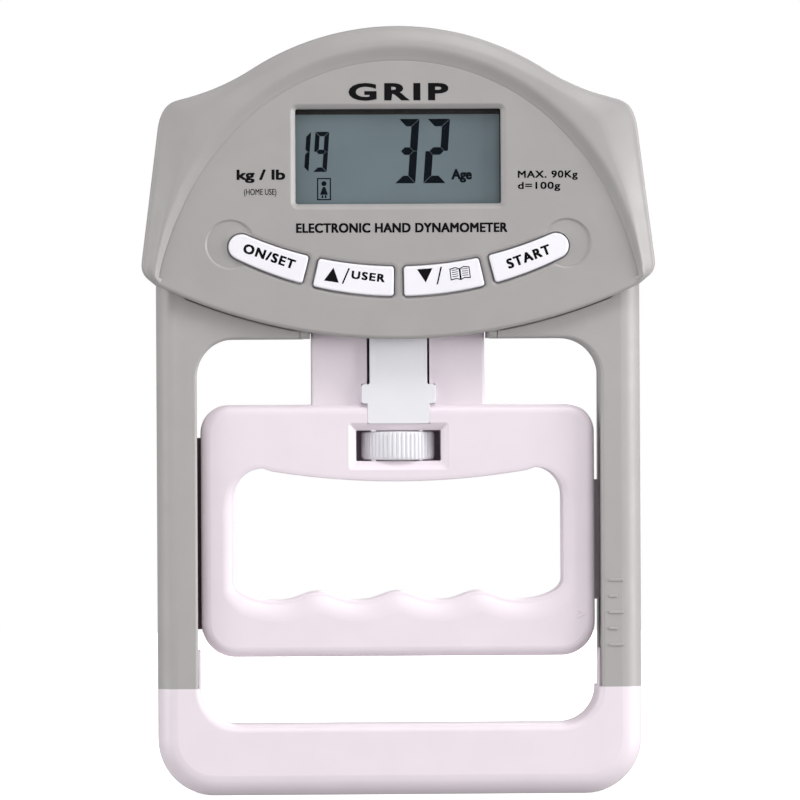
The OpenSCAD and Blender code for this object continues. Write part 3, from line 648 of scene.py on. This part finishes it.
def head_cover():
    outline, low_count = head_outline()
    shell = Shell()
    normal_in = inset(outline, 2.0)
    columns = []
    for i, (x, z) in enumerate(outline):
        if i < low_count:
            rows, inner = lip_rows(2.0), normal_in[i]
        else:
            angle = math.degrees(math.atan2(z - PANEL_C[1], abs(x)))
            reach = math.dist((x, z), PANEL_C)
            start = min(table(PANEL_R, angle), reach - 1.2)
            rows = rim_rows(angle, reach - start, start)
            inner = tuple(PANEL_C[k] + ((x, z)[k] - PANEL_C[k]) * start / reach for k in (0, 1))
        columns.append([(inner[0] + (x - inner[0]) * s, y, inner[1] + (z - inner[1]) * s)
                        for s, y in rows])
    edge = [(c[0][0], c[0][2]) for c in columns]
    groove = [0.0 if i < low_count - 1 else 0.05 for i in range(len(edge))]
    line = [(0.5, 0), (0.3, 0), (0.24, 1), (0.08, 1)]
    rings = [shell.ring(inset(edge, d), [Y_PANEL + g * deep for g in groove]) for d, deep in line]
    rings += [shell.ring3([c[k] for c in columns]) for k in range(len(columns[0]))]
    rings += lay_rings(shell, outline, seam_steps(1) + [(WALL, Y_SPLIT), (WALL, Y_INNER)])
    shell.wall(rings)
    lip = [(0.9, Y_PANEL), (0.62, -13.36), (0.35, -13.2), (0.14, -12.95), (0.02, -12.6), (0, -12.3),
           (0, Y_INNER)]
    bevel = [(1.4, Y_PANEL), (1.2, -13.36), (1.05, -13.27), (0.2, -12.6), (0.06, -12.4), (0, -12.1),
             (0, Y_INNER)]
    for hole in (KEY_START, KEY_DOWN, mirrored(KEY_START), mirrored(KEY_DOWN)):
        shell.wall(lay_rings(shell, inset(hole, -KEY_GAP), lip, -1))
    shell.wall(lay_rings(shell, rectangle(*LCD, 0.5), bevel, -1))
    shell.close()
    dish = [(6.35, -14.2), (6.25, Y_PANEL), (6.08, -13.3), (5.75, -12.95)]
    cuts = [block((-60.1, -10.15, 100), (60.1, Y_SPLIT + 1, 131.4))]
    cuts += [lathe_y((s * RING[0], RING[1]), dish, 72) for s in (-1, 1)]
    return shell, cuts


shell, cuts = head_cover()
piece("head_cover_shell", shell, HOUSING, "grey_plastic", ["head_cover"], cuts)

gasket = plate(rectangle(-26.75, 143.8, 26.75, 170.0, 0.3), [rectangle(-25.9, 145.5, 25.15, 168.25, 0.3)],
               -10.56, -10.14, 0.05, 0.05, 0.05)
piece("display_gasket_frame", gasket, HOUSING, "black_foam", ["display_gasket"])

# ---------- legs and web ----------

WEB_HW = 21.9
SLOT_X, SLOT_Z = (49.75, 53.3), (29.5, 100)


def frame_half_outline():
    return rounded([(GAP_HW, SEAM_Z, 0), (LEG_HW, SEAM_Z, 0), (LEG_HW, 131, 0), (52, 131, 0), (52, 124.6, 0),
                    (42, 124.6, 0), (42, 120.5, 0), (WEB_HW, 120.5, 0), (WEB_HW, GAP_TOP, 0),
                    (GAP_HW, GAP_TOP, GAP_R)], 12)


def front_leg():
    def rule(p, q):
        if p[0] > 59 and q[0] > 59:
            return 5.0
        return 0.8 if p[1] > SEAM_Z + 1 or q[1] > SEAM_Z + 1 else 0.0
    return moulding(frame_half_outline(), rule, Y_LEG, 1)


def scale_marks():
    marks = []
    for i in range(-2, 3):
        z, end = 44.9 + 4 * i, 55.4 if i % 2 == 0 else 53.8
        marks.append(plate(rectangle(51.6, z - 0.35, end, z + 0.35, 0.3), [], -10.3, -9.6, 0.15, 0.05))
    return marks


def seam_cutters():
    """Grooves that set the right half off from the head and from the strip between the halves."""
    arc_line = [(x, z - 0.36) for x, z in lower_arc() if 24.4 < x < 53]
    under = prism([(24.4, 125)] + arc_line + [(53, 131.2), (52, 131.2), (52, 125)], Y_LEG - 1, -8.9)
    return [under, block((24.3, Y_LEG - 1, 112), (24.52, -9.4, 116))]


leg = front_leg()
leg_cuts = [block((SLOT_X[0], 0.35, SLOT_Z[0]), (SLOT_X[1], Y_SPLIT + 1, SLOT_Z[1]))] + seam_cutters()
web_strip = block((-WEB_HW, Y_LEG, 116), (WEB_HW, -8.2, 120.4))
for tag, shell, cuts, joins in (("right", leg, leg_cuts, scale_marks()),
                                ("left", flipped(leg), [flipped(c) for c in leg_cuts], []),
                                ("strip", web_strip, [], [])):
    # The front frame pieces take the lighter copy of the grey plastic: painted light.
    piece("front_frame_" + tag, shell, HOUSING, "grey_plastic", ["front_frame"], cuts, joins, "grey_frame")

# ---------- palm bar ----------

ARM_X = 49.2


def palm_outline():
    """U shape: the bar with the arms that meet the legs at SEAM_Z."""
    return rounded([(-LEG_HW, SEAM_Z, 0), (-LEG_HW, 0, 14), (LEG_HW, 0, 14), (LEG_HW, SEAM_Z, 0),
                    (ARM_X, SEAM_Z, 0), (ARM_X, 17.2, 9), (-ARM_X, 17.2, 9), (-ARM_X, SEAM_Z, 0)], 14)


def palm_half(y_face, side, outer, inner):
    def rule(p, q):
        if p[1] > SEAM_Z - 0.1 and q[1] > SEAM_Z - 0.1:
            return 0.0
        on_outside = min(p[1], q[1]) < 10 or (abs(p[0]) > 55 and abs(q[0]) > 55)
        return outer if on_outside else inner
    return moulding(palm_outline(), rule, y_face, side)


lug = plate(rectangle(ARM_X, 24, 49.85, 36, 0.3), [], -5, 2.4, 0.15, 0.15)
lug_cut = block((48, 0.35, 31), (54, 3, 38))
piece("palm_bar_front_shell", palm_half(Y_LEG, 1, 5.0, 1.6), HOUSING, "blush_plastic", ["palm_bar_front"],
      [lug_cut, flipped(lug_cut)], [lug, flipped(lug)])
piece("palm_bar_rear_shell", palm_half(Y_BACK, -1, 3.0, 1.6), HOUSING, "blush_plastic", ["palm_bar_rear"])

# ---------- grip ----------

FINGER_HW, FINGER_LOW, FINGER_TOP, FINGER_RISE = 40.7, 48.1, 77.5, 3.0
GROOVES_HW, GROOVE_PITCH, GROOVE_DEPTH = 30, 20, 2.2


def finger_outline():
    """Arched top and a bottom with four grooves."""
    low = []
    for x in range(-GROOVES_HW, GROOVES_HW + 1):
        wave = 0.5 + 0.5 * math.cos(2 * math.pi * x / GROOVE_PITCH)
        low.append((x, FINGER_LOW + GROOVE_DEPTH * wave ** 1.35))
    side = [(GROOVES_HW + (FINGER_HW - GROOVES_HW) * math.sin(t), FINGER_LOW + 5 * (1 - math.cos(t)))
            for t in (math.radians(a) for a in range(9, 91, 9))]
    top_x = FINGER_HW - 7
    corner = arc((top_x, FINGER_TOP + FINGER_RISE - 6.6), 7, 0, 90, 9)
    crown = [(x, FINGER_TOP + FINGER_RISE * (x / top_x) ** 2) for x in
             [top_x * (1 - k / 16) for k in range(1, 33)]]
    crown = [p for p in crown if p[0] > -top_x + 0.5]
    right_side = side + corner
    return chain(low, right_side, crown, mirrored(right_side))


BEVEL = (-12.15, 80.6, 12.15, 91.8)
WINDOW = (-10.5, 82.55, 10.5, 90.15)


def gear_cuts():
    """Room for the washers, the screw and the white stem."""
    return [lathe_z(0, Y_SPLIT, [(6.1, 81.7), (6.1, 91.0)]),
            lathe_z(0, Y_SPLIT, [(3.4, 80.4), (3.4, 128)], 48),
            block((-7.75, -20, 101.65), (7.75, 7.9, 127)),
            block((-9.17, -20, 96.74), (9.17, 7.9, 101.66)),
            block((-7.72, -20, 91.75), (7.72, 7.9, 96.78))]


def finger_flare(outline, low, high, beside):
    """How far each side of the finger opening is rounded: wide at the grooves, narrow at the top."""
    flares = []
    for i, p in enumerate(outline):
        q = outline[(i + 1) % len(outline)]
        turn = (Vector(q) - Vector(p)).normalized().x
        flares.append(beside + ((low if turn >= 0 else high) - beside) * abs(turn))
    for _ in range(6):
        flares = [(flares[i - 1] + flares[i] + flares[(i + 1) % len(flares)]) / 3 for i in range(len(flares))]
    return flares


def grip_half(y_face, side, flares, flare_depth, bevel_y, wide=0):
    """One half of the grip frame. A wide number makes the window of the wheel that half width, unbevelled."""
    shell = Shell()
    outline = rounded([(-49.0, 34.2, 8.4), (48.5, 34.2, 8.4), (48.5, 96.6, 7), (-49.0, 96.6, 7)], 12)
    shell.wall(lay_rings(shell, outline, fillet(2.4, y_face, side, 6) + seam_steps(side)))
    outline = finger_outline()
    radii = finger_flare(outline, *flares)
    narrow = flares[1]
    rings = [shell.ring(inset(outline, [-r - SUPPORT for r in radii]), y_face)]
    ends = [min(0.8, 0.35 + 0.15 * (r - narrow)) for r in radii]
    deep = [flare_depth * max(0.06, (r - narrow) / (radii[0] - narrow)) for r in radii]
    for k in range(8):
        s = 1 - k / 8
        ys = [y_face + side * d * (1 - s) ** 1.7 for d in deep]
        rings.append(shell.ring(inset(outline, [-(e + (r - e) * s) for r, e in zip(radii, ends)]), ys))
    for k in range(6):
        t = math.pi / 2 * k / 5
        ys = [y_face + side * (d + e * (1 - math.cos(t))) for d, e in zip(deep, ends)]
        rings.append(shell.ring(inset(outline, [-e * (1 - math.sin(t)) for e in ends]), ys))
    rings.append(shell.ring(outline, Y_SPLIT))
    shell.wall(rings)
    outer, inner = rectangle(*BEVEL, 0.5), rectangle(*WINDOW, 0.3)
    if wide:
        outer, inner = (rectangle(-x, WINDOW[1], x, WINDOW[3], 0.3) for x in (wide + 0.6, wide))
    shell.wall(lay_rings(shell, outer, [(0.3, y_face), (0, y_face + side * 0.1)], -1)
               + lay_rings(shell, inner, [(0.15, bevel_y - side * 0.1), (0, bevel_y + side * 0.1),
                                          (0, Y_SPLIT)], -1))
    return shell.close()


def tongue(side, z0, z1, y0, y1):
    x0, x1 = (47.5, 52.9) if side > 0 else (-52.9, -47.5)
    return plate(rectangle(x0, z0, x1, z1, 0.4), [], y0, y1, 0.25, 0.02)


def neck(y0, y1, r0, r1):
    return plate(rectangle(-21.4, 93, 21.4, 126, 0), [], y0, y1, r0, r1)


def pointer():
    """Raised outline of a small triangle, which reads against the scale."""
    corners = [(43.9, 43.2), (46.5, 44.5), (43.9, 45.8)]
    outer = rounded([(*p, 0.15) for p in corners], 3)
    inner = rounded([(*p, 0.04) for p in inset(corners, 0.38)], 3)
    foot, edge, top = Y_GRIP + 0.4, Y_GRIP - 0.07, Y_GRIP - 0.13
    shell = Shell()
    return shell.loop(lay_rings(shell, outer, [(0, foot), (0, edge), (0.07, top)])
                      + lay_rings(shell, inner, [(-0.05, top), (0, edge), (0, foot)]))


SCREW_HOLE_R = 2.7
rear_cuts = pillars([(-44.8, 90), (44.8, 90), (-40, 41), (40, 41)], SCREW_HOLE_R, 6, 12)
rear_cuts.append(block((WINDOW[0], 2, WINDOW[1]), (WINDOW[2], 9.2, WINDOW[3])))
piece("grip_front_shell", grip_half(Y_GRIP, 1, (5.2, 1.1, 2.8), 1.7, -4.3), GRIP, "blush_plastic",
      ["grip_front"], gear_cuts(), [neck(Y_NECK, Y_SPLIT, 0.7, 0.05), pointer()])
piece("grip_rear_shell", grip_half(Y_GRIP_BACK, -1, (4.2, 1.1, 2.4), 1.5, 10.4, 6.5), GRIP, "blush_plastic",
      ["grip_rear"], gear_cuts() + rear_cuts, [neck(Y_SPLIT, Y_NECK_BACK, 0.05, 0.7)])
# The left tongue takes the darker copy of the blush plastic as painted shade; the right one keeps the plain
# plastic.
for side, z0, z1, tag, look in ((-1, 41, 88.5, "left", "blush_shade"),
                                (1, 48, 77.7, "right", "blush_plastic")):
    piece("grip_tongue_" + tag, tongue(side, z0, z1, 0.7, 4.3), GRIP, "blush_plastic",
          ["grip_front", "grip_rear"], look=look)


def stem():
    """White sleeve with two shoulders."""
    half = [(7.7, 91.8, 0.5), (7.7, 96.8, 0), (9.15, 96.8, 0.5), (9.15, 101.6, 0.6), (7.1, 101.6, 0.4),
            (7.1, 124, 0.5)]
    outline = rounded(half + [(-x, z, r) for x, z, r in reversed(half)], 4)
    return plate(outline, [], Y_GRIP, 7.7, 0.14, 0.26)


piece("stem_sleeve_shell", stem(), GRIP, "white_plastic", ["stem_sleeve"],
      [lathe_z(0, Y_SPLIT, [(3.5, 91), (3.5, 125)], 48)])

# ---------- wheel and screw ----------


def knurled_wheel():
    """Wheel with rounded ribs, a hub and a bore, as one closed ring of sections."""
    middle, ribs, per_rib = 86.35, 50, 6
    count = ribs * per_rib
    shell = Shell()

    def section(base, depth, z):
        points = []
        for i in range(count):
            t = 2 * math.pi * i / count
            wave = abs(math.sin(ribs * t / 2)) ** 0.7
            r = base - depth * (1 - wave)
            points.append((r * math.cos(t), Y_SPLIT + r * math.sin(t), z))
        return shell.ring3(points)
    # (radius, depth of the ribs, height from the middle)
    half = [(3.03, 0, 3.75), (5.4, 0, 3.75), (5.4, 0, 3.5), (8.4, 0, 3.5), (8.75, 0.05, 3.4),
            (9.0, 0.3, 3.05), (9.1, 0.42, 2.6)]
    return shell.loop([section(r, d, middle - h) for r, d, h in half]
                      + [section(r, d, middle + h) for r, d, h in reversed(half)])


def threaded_rod():
    """Rod with a rounded trapezoidal thread of 2 mm lead above a plain collar."""
    steps, rows, lead, z0, z1 = 32, 380, 2.0, 80.8, 157.2
    core, crest, collar_top, thread_top = 2.45, 0.53, 95, 156.4
    shell = Shell()
    rings = []
    for j in range(rows + 1):
        z = z0 + (z1 - z0) * j / rows
        fade = min(1, (z - z0) / 0.6, (z1 - z) / 0.8)
        points = []
        for i in range(steps):
            t = 2 * math.pi * i / steps
            phase = (z / lead - i / steps) % 1
            wave = min(1, max(0, 1.9 - abs(phase - 0.5) * 6.4))
            r = core + (crest * wave if collar_top < z < thread_top else 0)
            r += (0.5 if z <= collar_top else 0) - 0.5 * (1 - fade)
            points.append((r * math.cos(t), Y_SPLIT + r * math.sin(t), z))
        rings.append(shell.ring3(points))
    return shell.solid(rings)


piece("wheel_shell", knurled_wheel(), "wheel", "white_plastic", ["knurled_wheel"], sharp=50)
piece("screw_thread", threaded_rod(), "wheel", "steel", ["adjust_screw"], sharp=45)

# ---------- keys ----------


def key_cap(outline, flange):
    """Key with a wider flange behind the panel."""
    shell = Shell()
    foot, back = -11.2, -10.4
    steps = fillet(0.42, KEY_Y, 1) + [(0, foot), (-flange, foot), (-flange, back)]
    shell.wall(lay_rings(shell, outline, steps))
    return shell.close()


for tag, outline, flange in (("start", KEY_START, 0.8), ("on_set", mirrored(KEY_START), 0.8),
                             ("down", KEY_DOWN, 0.45), ("up", mirrored(KEY_DOWN), 0.45)):
    piece(f"button_{tag}_cap", key_cap(outline, flange), "key_" + tag, "key_white", ["button_" + tag])

# ---------- rear shell and battery cover ----------

DOOR_X, DOOR_Z = (-50.1, -25.3), (118.8, 169.5)
HINGE = (14.2, 118.8)
HEAD_SCREWS = [(-55.1, 127), (55.1, 127), (-54, 161.5), (54, 161.5), (0, 182), (-55.1, 104), (55.1, 104)]
PALM_SCREWS = [(-55.1, 31.5), (55.1, 31.5)]


def low_z(x):
    """Height of the arc below the head."""
    return LOW_Z - math.sqrt(LOW_R ** 2 - x * x)


def rear_outline():
    right = chain([(GAP_HW, SEAM_Z), (LEG_HW, SEAM_Z), (LEG_HW, low_z(LOW_HW) + 0.42)], upper_right())
    gap = arc((40.9, 103.5), GAP_R, 90, 0, 12)
    corner = [(23.3, GAP_TOP)] + gap[:-1]
    middle = [(x, low_z(x)) for x in [-23.3 + 46.6 * k / 16 for k in range(17)]]
    return chain(right, mirrored(right)[1:], mirrored(corner), middle, corner)


def along_x(shell):
    """Turns a shape around a line along Z into one around a line along X."""
    return moved(shell, lambda x, y, z: (z, y, x))


def rear_shell():
    def rule(p, q):
        if max(p[1], q[1]) < SEAM_Z + 0.1:
            return 0.0
        if min(abs(p[0]), abs(q[0])) > 59.5 and max(p[1], q[1]) < 127:
            return 3.0
        return 1.6 if (p[1] + q[1]) / 2 > 126.4 else 0.8
    return moulding(rear_outline(), rule, Y_BACK, -1, [(WALL, Y_SPLIT), (WALL, Y_BACK - WALL)])


posts = merged(*pillars(HEAD_SCREWS, 3.7, Y_SPLIT + 0.1, Y_BACK - 1),
               *pillars(PALM_SCREWS, 3.4, 4.5, Y_BACK - 1))
screw_holes = merged(*pillars(HEAD_SCREWS + PALM_SCREWS, SCREW_HOLE_R, 6, 16))
bay_box = block((-50.1, 1.5, 118), (-25.3, 14, 169.5))
bay_room = block((-48.6, 2.7, 119.5), (-26.8, 16, 168))
recess_corners = [(x, z, 0.6) for x, z in rectangle(-50.4, 117.7, -25, 169.8, 0)]
recess = plate(rounded(recess_corners, 4), [], 13.3, 16, 0.1, 0.1)
sockets = along_x(lathe_z(HINGE[1], HINGE[0], [(0.66, -51.45), (0.66, -23.95)], 16))
nail_notch = lathe_y((-37.7, 169.5), [(3.4, 13.7), (4, 14.6), (4.2, 16)], 48)
rear_slot = block((SLOT_X[0], 2, SLOT_Z[0]), (SLOT_X[1], 4.65, SLOT_Z[1]))
neck_way = block((-23.28, 2, 100), (23.28, 10.3, 120.9))
piece("rear_shell_moulding", rear_shell(), HOUSING, "grey_plastic", ["rear_shell"],
      [bay_room, recess, sockets, nail_notch, screw_holes, merged(rear_slot, flipped(rear_slot)), neck_way],
      [posts, bay_box])


def battery_cover():
    """The lid, what is cut from it (grooves, an arrow) and what is joined to it (a round edge, pins)."""
    x0, x1 = DOOR_X
    lid = plate(rectangle(x0, DOOR_Z[0], x1, DOOR_Z[1], 0.5), [], 13.4, Y_BACK, 0.05, 0.22)
    bead = [(0.7, x0), (0.8, x0 + 0.1), (0.8, x1 - 0.1), (0.7, x1)]
    pins = [(0.5, x0 - 1), (0.6, x0 - 0.9), (0.6, x1 + 0.9), (0.5, x1 + 1)]
    grooves = [plate(rectangle(-43, 158 + 2 * i, -32.6, 159 + 2 * i, 0.45), [], 14.6, 15.5, 0.1, 0.1)
               for i in range(5)]
    arrow = plate(rounded([(-41.2, 153.6, 0.3), (-37.8, 149.6, 0.3), (-34.4, 153.6, 0.3)], 3), [],
                  14.75, 15.5, 0.05, 0.05)
    joins = [along_x(lathe_z(HINGE[1], HINGE[0], rows, steps)) for rows, steps in ((bead, 24), (pins, 16))]
    return lid, [merged(*grooves, arrow)], joins


lid, cuts, joins = battery_cover()
piece("battery_cover_lid", lid, "battery_cover", "grey_plastic", ["battery_door"], cuts, joins)

# ---------- display content and printed labels ----------

LCD_Y = -10.12


def slab(outline, y, thick=0.03):
    """Thin raised print: an outline from y - thick to y + thick."""
    shell = Shell()
    shell.wall([shell.ring(outline, y - thick), shell.ring(outline, y + thick)])
    return shell.close()


def border(outer, inner, y, thick=0.03):
    """Thin raised print between two outlines."""
    shell = Shell()
    flat = [(0, y - thick), (0, y + thick)]
    return shell.loop(lay_rings(shell, outer, flat) + lay_rings(shell, inner, flat[::-1]))


SEGMENTS = {"1": "bc", "2": "abged", "3": "abgcd", "9": "abcdfg"}


def digit(text, x0, z0, x1, z1, thick, lean=4.0, gap=0.08):
    """Seven-segment digit in a box, with mitred segments."""
    slope = math.tan(math.radians(lean))
    width = (x1 - x0) - slope * (z1 - z0)
    h, t = (z1 - z0), thick
    end, tip = h / 2 + gap / 2, width - t - gap * 0.6
    shapes = {
        "a": [(gap, h), (width - gap, h), (width - t - gap, h - t), (t + gap, h - t)],
        "b": [(width, h - gap), (width, end), (width - t * 0.5, end), (width - t, h / 2 + t / 2 + gap),
              (width - t, h - t - gap)],
        "g": [(gap + t * 0.5, h / 2), (t + gap * 0.6, h / 2 + t / 2), (tip, h / 2 + t / 2),
              (width - gap - t * 0.5, h / 2), (tip, h / 2 - t / 2), (t + gap * 0.6, h / 2 - t / 2)],
    }
    shapes["f"] = [(width - x, z) for x, z in shapes["b"]]
    for upper, lower in ("ad", "bc", "fe"):
        shapes[lower] = [(x, h - z) for x, z in shapes[upper]]
    out = []
    for name in SEGMENTS[text]:
        outline = [(x0 + x + slope * z, z0 + z) for x, z in shapes[name]]
        area = sum(outline[i - 1][0] * p[1] - p[0] * outline[i - 1][1] for i, p in enumerate(outline))
        out.append(slab(outline if area > 0 else outline[::-1], LCD_Y))
    return out


def figure_icon(x0, z0, x1, z1):
    """Small generic symbol in a frame: a disc over a wedge with two feet."""
    line = 0.3
    outer, inner = rectangle(x0, z0, x1, z1, 0), rectangle(x0 + line, z0 + line, x1 - line, z1 - line, 0)
    cx, top = (x0 + x1) / 2, z1 - 0.75
    wedge = [(cx - 0.95, z0 + 1.35), (cx + 0.95, z0 + 1.35), (cx + 0.3, top - 1.5), (cx - 0.3, top - 1.5)]
    feet = [rectangle(x - 0.2, z0 + 0.55, x + 0.2, z0 + 1.2, 0) for x in (cx - 0.4, cx + 0.4)]
    solids = [arc((cx, top - 0.65), 0.62, 0, 342, 19), wedge] + feet
    return [border(outer, inner, LCD_Y)] + [slab(outline, LCD_Y) for outline in solids]


content = digit("3", -0.75, 151.2, 5.4, 167.1, 1.85) + digit("2", 6.3, 151.2, 12.95, 167.1, 1.85)
content += digit("1", -24.9, 154.1, -21.4, 164.0, 1.1) + digit("9", -21.0, 154.1, -16.9, 164.0, 1.1)
content += figure_icon(-20.0, 147.1, -16.55, 152.6)
piece("display_segments", merged(*content), HOUSING, "lcd", look="segment")


def turned(points, centre, degrees):
    c, s = math.cos(math.radians(degrees)), math.sin(math.radians(degrees))
    return [(centre[0] + (x - centre[0]) * c - (z - centre[1]) * s,
             centre[1] + (x - centre[0]) * s + (z - centre[1]) * c) for x, z in points]


def lettering(name, text, box, y=Y_PANEL, body=HOUSING, turn=0.0, bold=0.0, heavy=0.0, spacing=1.0,
              slot="chip_black", look="print_black"):
    """Printed word stretched to fit a box (x0, z0, x1, z1), then turned about the middle of the box.
    heavy widens the strokes by that many millimetres, with shifted copies."""
    curve = bpy.data.curves.new(name, "FONT")
    curve.body = text
    curve.extrude = 0.01
    curve.offset = bold
    curve.space_character = spacing
    curve.resolution_u = 4
    holder = new_object("words", curve)
    graph = bpy.context.evaluated_depsgraph_get()
    mesh = bpy.data.meshes.new_from_object(holder.evaluated_get(graph))
    bpy.data.objects.remove(holder)
    bpy.data.curves.remove(curve)
    xs = [v.co.x for v in mesh.vertices]
    zs = [v.co.y for v in mesh.vertices]
    left, low = min(xs), min(zs)
    x0, z0, x1, z1 = box[0] + heavy, box[1] + heavy, box[2] - heavy, box[3] - heavy
    sx, sz = (x1 - x0) / (max(xs) - left), (z1 - z0) / (max(zs) - low)
    mid = ((x0 + x1) / 2, (z0 + z1) / 2)
    shifts = [(0, 0)] if heavy == 0 else [(a * heavy, b * heavy * 0.7) for a in (-1, 1) for b in (-1, 1)]
    words = Shell()
    for k, (a, b) in enumerate(shifts):
        base, half = len(words.verts), 0.02 + 0.001 * k
        flat = [(x0 + (x - left) * sx + a, z0 + (z - low) * sz + b) for x, z in zip(xs, zs)]
        words.verts += [(x, y - half if v.co.z > 0 else y + half, z)
                        for v, (x, z) in zip(mesh.vertices, turned(flat, mid, turn))]
        words.faces += [tuple(base + i for i in f.vertices) for f in mesh.polygons]
    bpy.data.meshes.remove(mesh)
    piece(name, words, body, slot, look=look)


lettering("label_display_unit", "Age", (13.2, 151.3, 18.3, 154.7), LCD_Y, bold=0.02, heavy=0.08, slot="lcd",
          look="segment")
lettering("label_name", "GRIP", (-12.2, 171.5, 12.5, 175.9), bold=0.04, spacing=1.25)
lettering("label_kind", "ELECTRONIC HAND DYNAMOMETER", (-25.3, 138.9, 26.9, 141.4), heavy=0.13, spacing=1.06)
lettering("label_capacity", "MAX. 90Kg", (29.5, 151.75, 44.3, 154.15), heavy=0.08, spacing=1.1)
lettering("label_division", "d=100g", (29.5, 149.0, 40.0, 151.35), heavy=0.08, spacing=1.1)
lettering("label_units", "kg / lb", (-39.9, 151.3, -27.9, 154.7), bold=0.01, heavy=0.11)
lettering("label_use", "(HOME USE)", (-38.1, 147.9, -30.1, 149.9), heavy=0.02)
lettering("label_on_set", "ON/SET", (-38.6, 132.0, -25.3, 134.5), KEY_Y, "key_on_set", -19, 0, 0.15, 1.2)
lettering("label_user", "USER", (-11.7, 127.1, -3.4, 129.2), KEY_Y, "key_up", -7, 0, 0.13, 1.2)
lettering("label_start", "START", (26.4, 131.6, 37.7, 134.2), KEY_Y, "key_start", 20, 0, 0.15, 1.2)


def mark(points, centre, degrees):
    return slab(turned(points, centre, degrees), KEY_Y, 0.02)


def book(cx, cz, turn):
    """Open book: two page outlines with lines of print."""
    out = []

    def placed(points, side):
        """Points of the right-hand page, put on one side and turned."""
        there = [(cx + side * x, cz + z) for x, z in points]
        return turned(there if side > 0 else there[::-1], (cx, cz), turn)
    for side in (-1, 1):
        page = [(0.0, -1.75), (1.0, -1.35), (2.5, -1.55), (2.5, 1.35), (1.0, 1.6), (0.0, 1.2)]
        inner = [(0.22, -1.4), (1.0, -1.08), (2.26, -1.25), (2.26, 1.12), (1.0, 1.34), (0.22, 1.0)]
        out.append(border(placed(page, side), placed(inner, side), KEY_Y, 0.02))
        for row in (-0.72, -0.2, 0.32, 0.84):
            line = [(0.5, row), (2.0, row - 0.08), (2.0, row + 0.1), (0.5, row + 0.18)]
            out.append(slab(placed(line, side), KEY_Y, 0.02))
    return out


up = [mark([(-18.3, 126.9), (-14.6, 126.9), (-16.45, 130.4)], (-16.45, 128.3), -9),
      mark([(-13.9, 126.3), (-13.5, 126.3), (-12.3, 130.3), (-12.7, 130.3)], (-13.1, 128.3), -7)]
down = [mark([(4.6, 130.0), (6.5, 126.6), (8.4, 130.0)], (6.5, 128.3), 4),
        mark([(9.0, 126.2), (9.4, 126.2), (10.9, 130.4), (10.5, 130.4)], (10, 128.3), 7)]
piece("symbols_up", merged(*up), "key_up", "chip_black", look="print_black")
piece("symbols_down", merged(*down, *book(15.1, 128.9, 7)), "key_down", "chip_black", look="print_black")

# ---------- the parts that keep their CAD shape ----------

for part in frame["record"]["subparts"]:
    finish(frame["nodes"][part["node"]], M[part["material_slot"]], 30)

# ---------- floor, light and camera ----------

scene = bpy.context.scene


def stage_floor():
    look = Look("floor_paint")
    look.colour(look.noise(120.0), linear(247, 247, 247), linear(250, 250, 250))
    look.roughness(look.noise(60.0), 0.75, 0.85)
    look.bump(look.noise(2.0), 0.01)
    look.shader.inputs["Emission Color"].default_value = PLAIN_WHITE
    look.shader.inputs["Emission Strength"].default_value = FLOOR_GLOW
    disc = lathe_z(0, 0, [(1400, 0), (1400, -4)], 72)
    floor = new_object("floor", disc.mesh("floor"))
    floor.data.materials.append(look.mat)
    floor.visible_diffuse = False
    floor.visible_glossy = False


def area_light(name, place, size, power, target=(0, 0, 0.1)):
    lamp = bpy.data.lights.new(name, "AREA")
    lamp.shape = "DISK"
    lamp.size = size
    lamp.energy = power
    obj = new_object(name, lamp)
    obj.location = place
    obj.rotation_euler = (Vector(target) - Vector(place)).to_track_quat("-Z", "Y").to_euler()


def sky():
    """White behind the object, a dimmer grey as light."""
    world = bpy.data.worlds.new("studio")
    world.use_nodes = True
    tree = world.node_tree
    mix = tree.nodes.new("ShaderNodeMixShader")
    for slot, node, strength in ((1, tree.nodes["Background"], SKY),
                                 (2, tree.nodes.new("ShaderNodeBackground"), 1.0)):
        node.inputs["Color"].default_value = PLAIN_WHITE
        node.inputs["Strength"].default_value = strength
        tree.links.new(node.outputs["Background"], mix.inputs[slot])
    path = tree.nodes.new("ShaderNodeLightPath")
    tree.links.new(path.outputs["Is Camera Ray"], mix.inputs["Fac"])
    tree.links.new(mix.outputs["Shader"], tree.nodes["World Output"].inputs["Surface"])
    scene.world = world


def camera():
    """Level and slightly to the left of the middle."""
    side = math.radians(CAM_SIDE)
    aim = Vector((CAM_AIM[0], 0, CAM_AIM[1])) * MM
    cam = bpy.data.cameras.new("camera")
    cam.sensor_width = 36
    cam.lens = cam.sensor_width * CAM_FAR / CAM_WIDE
    cam.clip_start, cam.clip_end = 0.05, 20
    obj = new_object("camera", cam)
    away = Vector((math.sin(side), -math.cos(side), 0))
    obj.location = aim + away * CAM_FAR * MM
    turn = (-away).to_track_quat("-Z", "Y") @ Quaternion((0, 0, 1), -math.radians(CAM_ROLL))
    obj.rotation_euler = turn.to_euler()
    scene.camera = obj


# Degrees to the right, degrees of roll, then in mm: distance, width of the view, (x, z) of its middle
CAM_SIDE, CAM_ROLL, CAM_FAR, CAM_WIDE, CAM_AIM = -1.8, 0.3, 2000, 198.7, (0.55, 97.65)
FLOOR_GLOW, SKY, PLAIN_WHITE = 0.62, 0.43, (1, 1, 1, 1)
scene.view_settings.view_transform = "Standard"
stage_floor()
for name, place, size, power in (
        ("key", (0.4, -0.85, 1.45), 0.7, 10.8), ("side", (1.3, -0.45, 0.15), 0.8, 20),
        ("fill", (-1.3, -0.55, 0.1), 1.0, 11.5), ("low_left", (-0.75, -1.25, 0.06), 0.6, 1.0),
        ("low_right", (0.85, -1.2, 0.1), 0.6, 1.6), ("back", (0.5, 1.5, 0.9), 0.8, 14)):
    area_light(name, place, size, power)
sky()
camera()
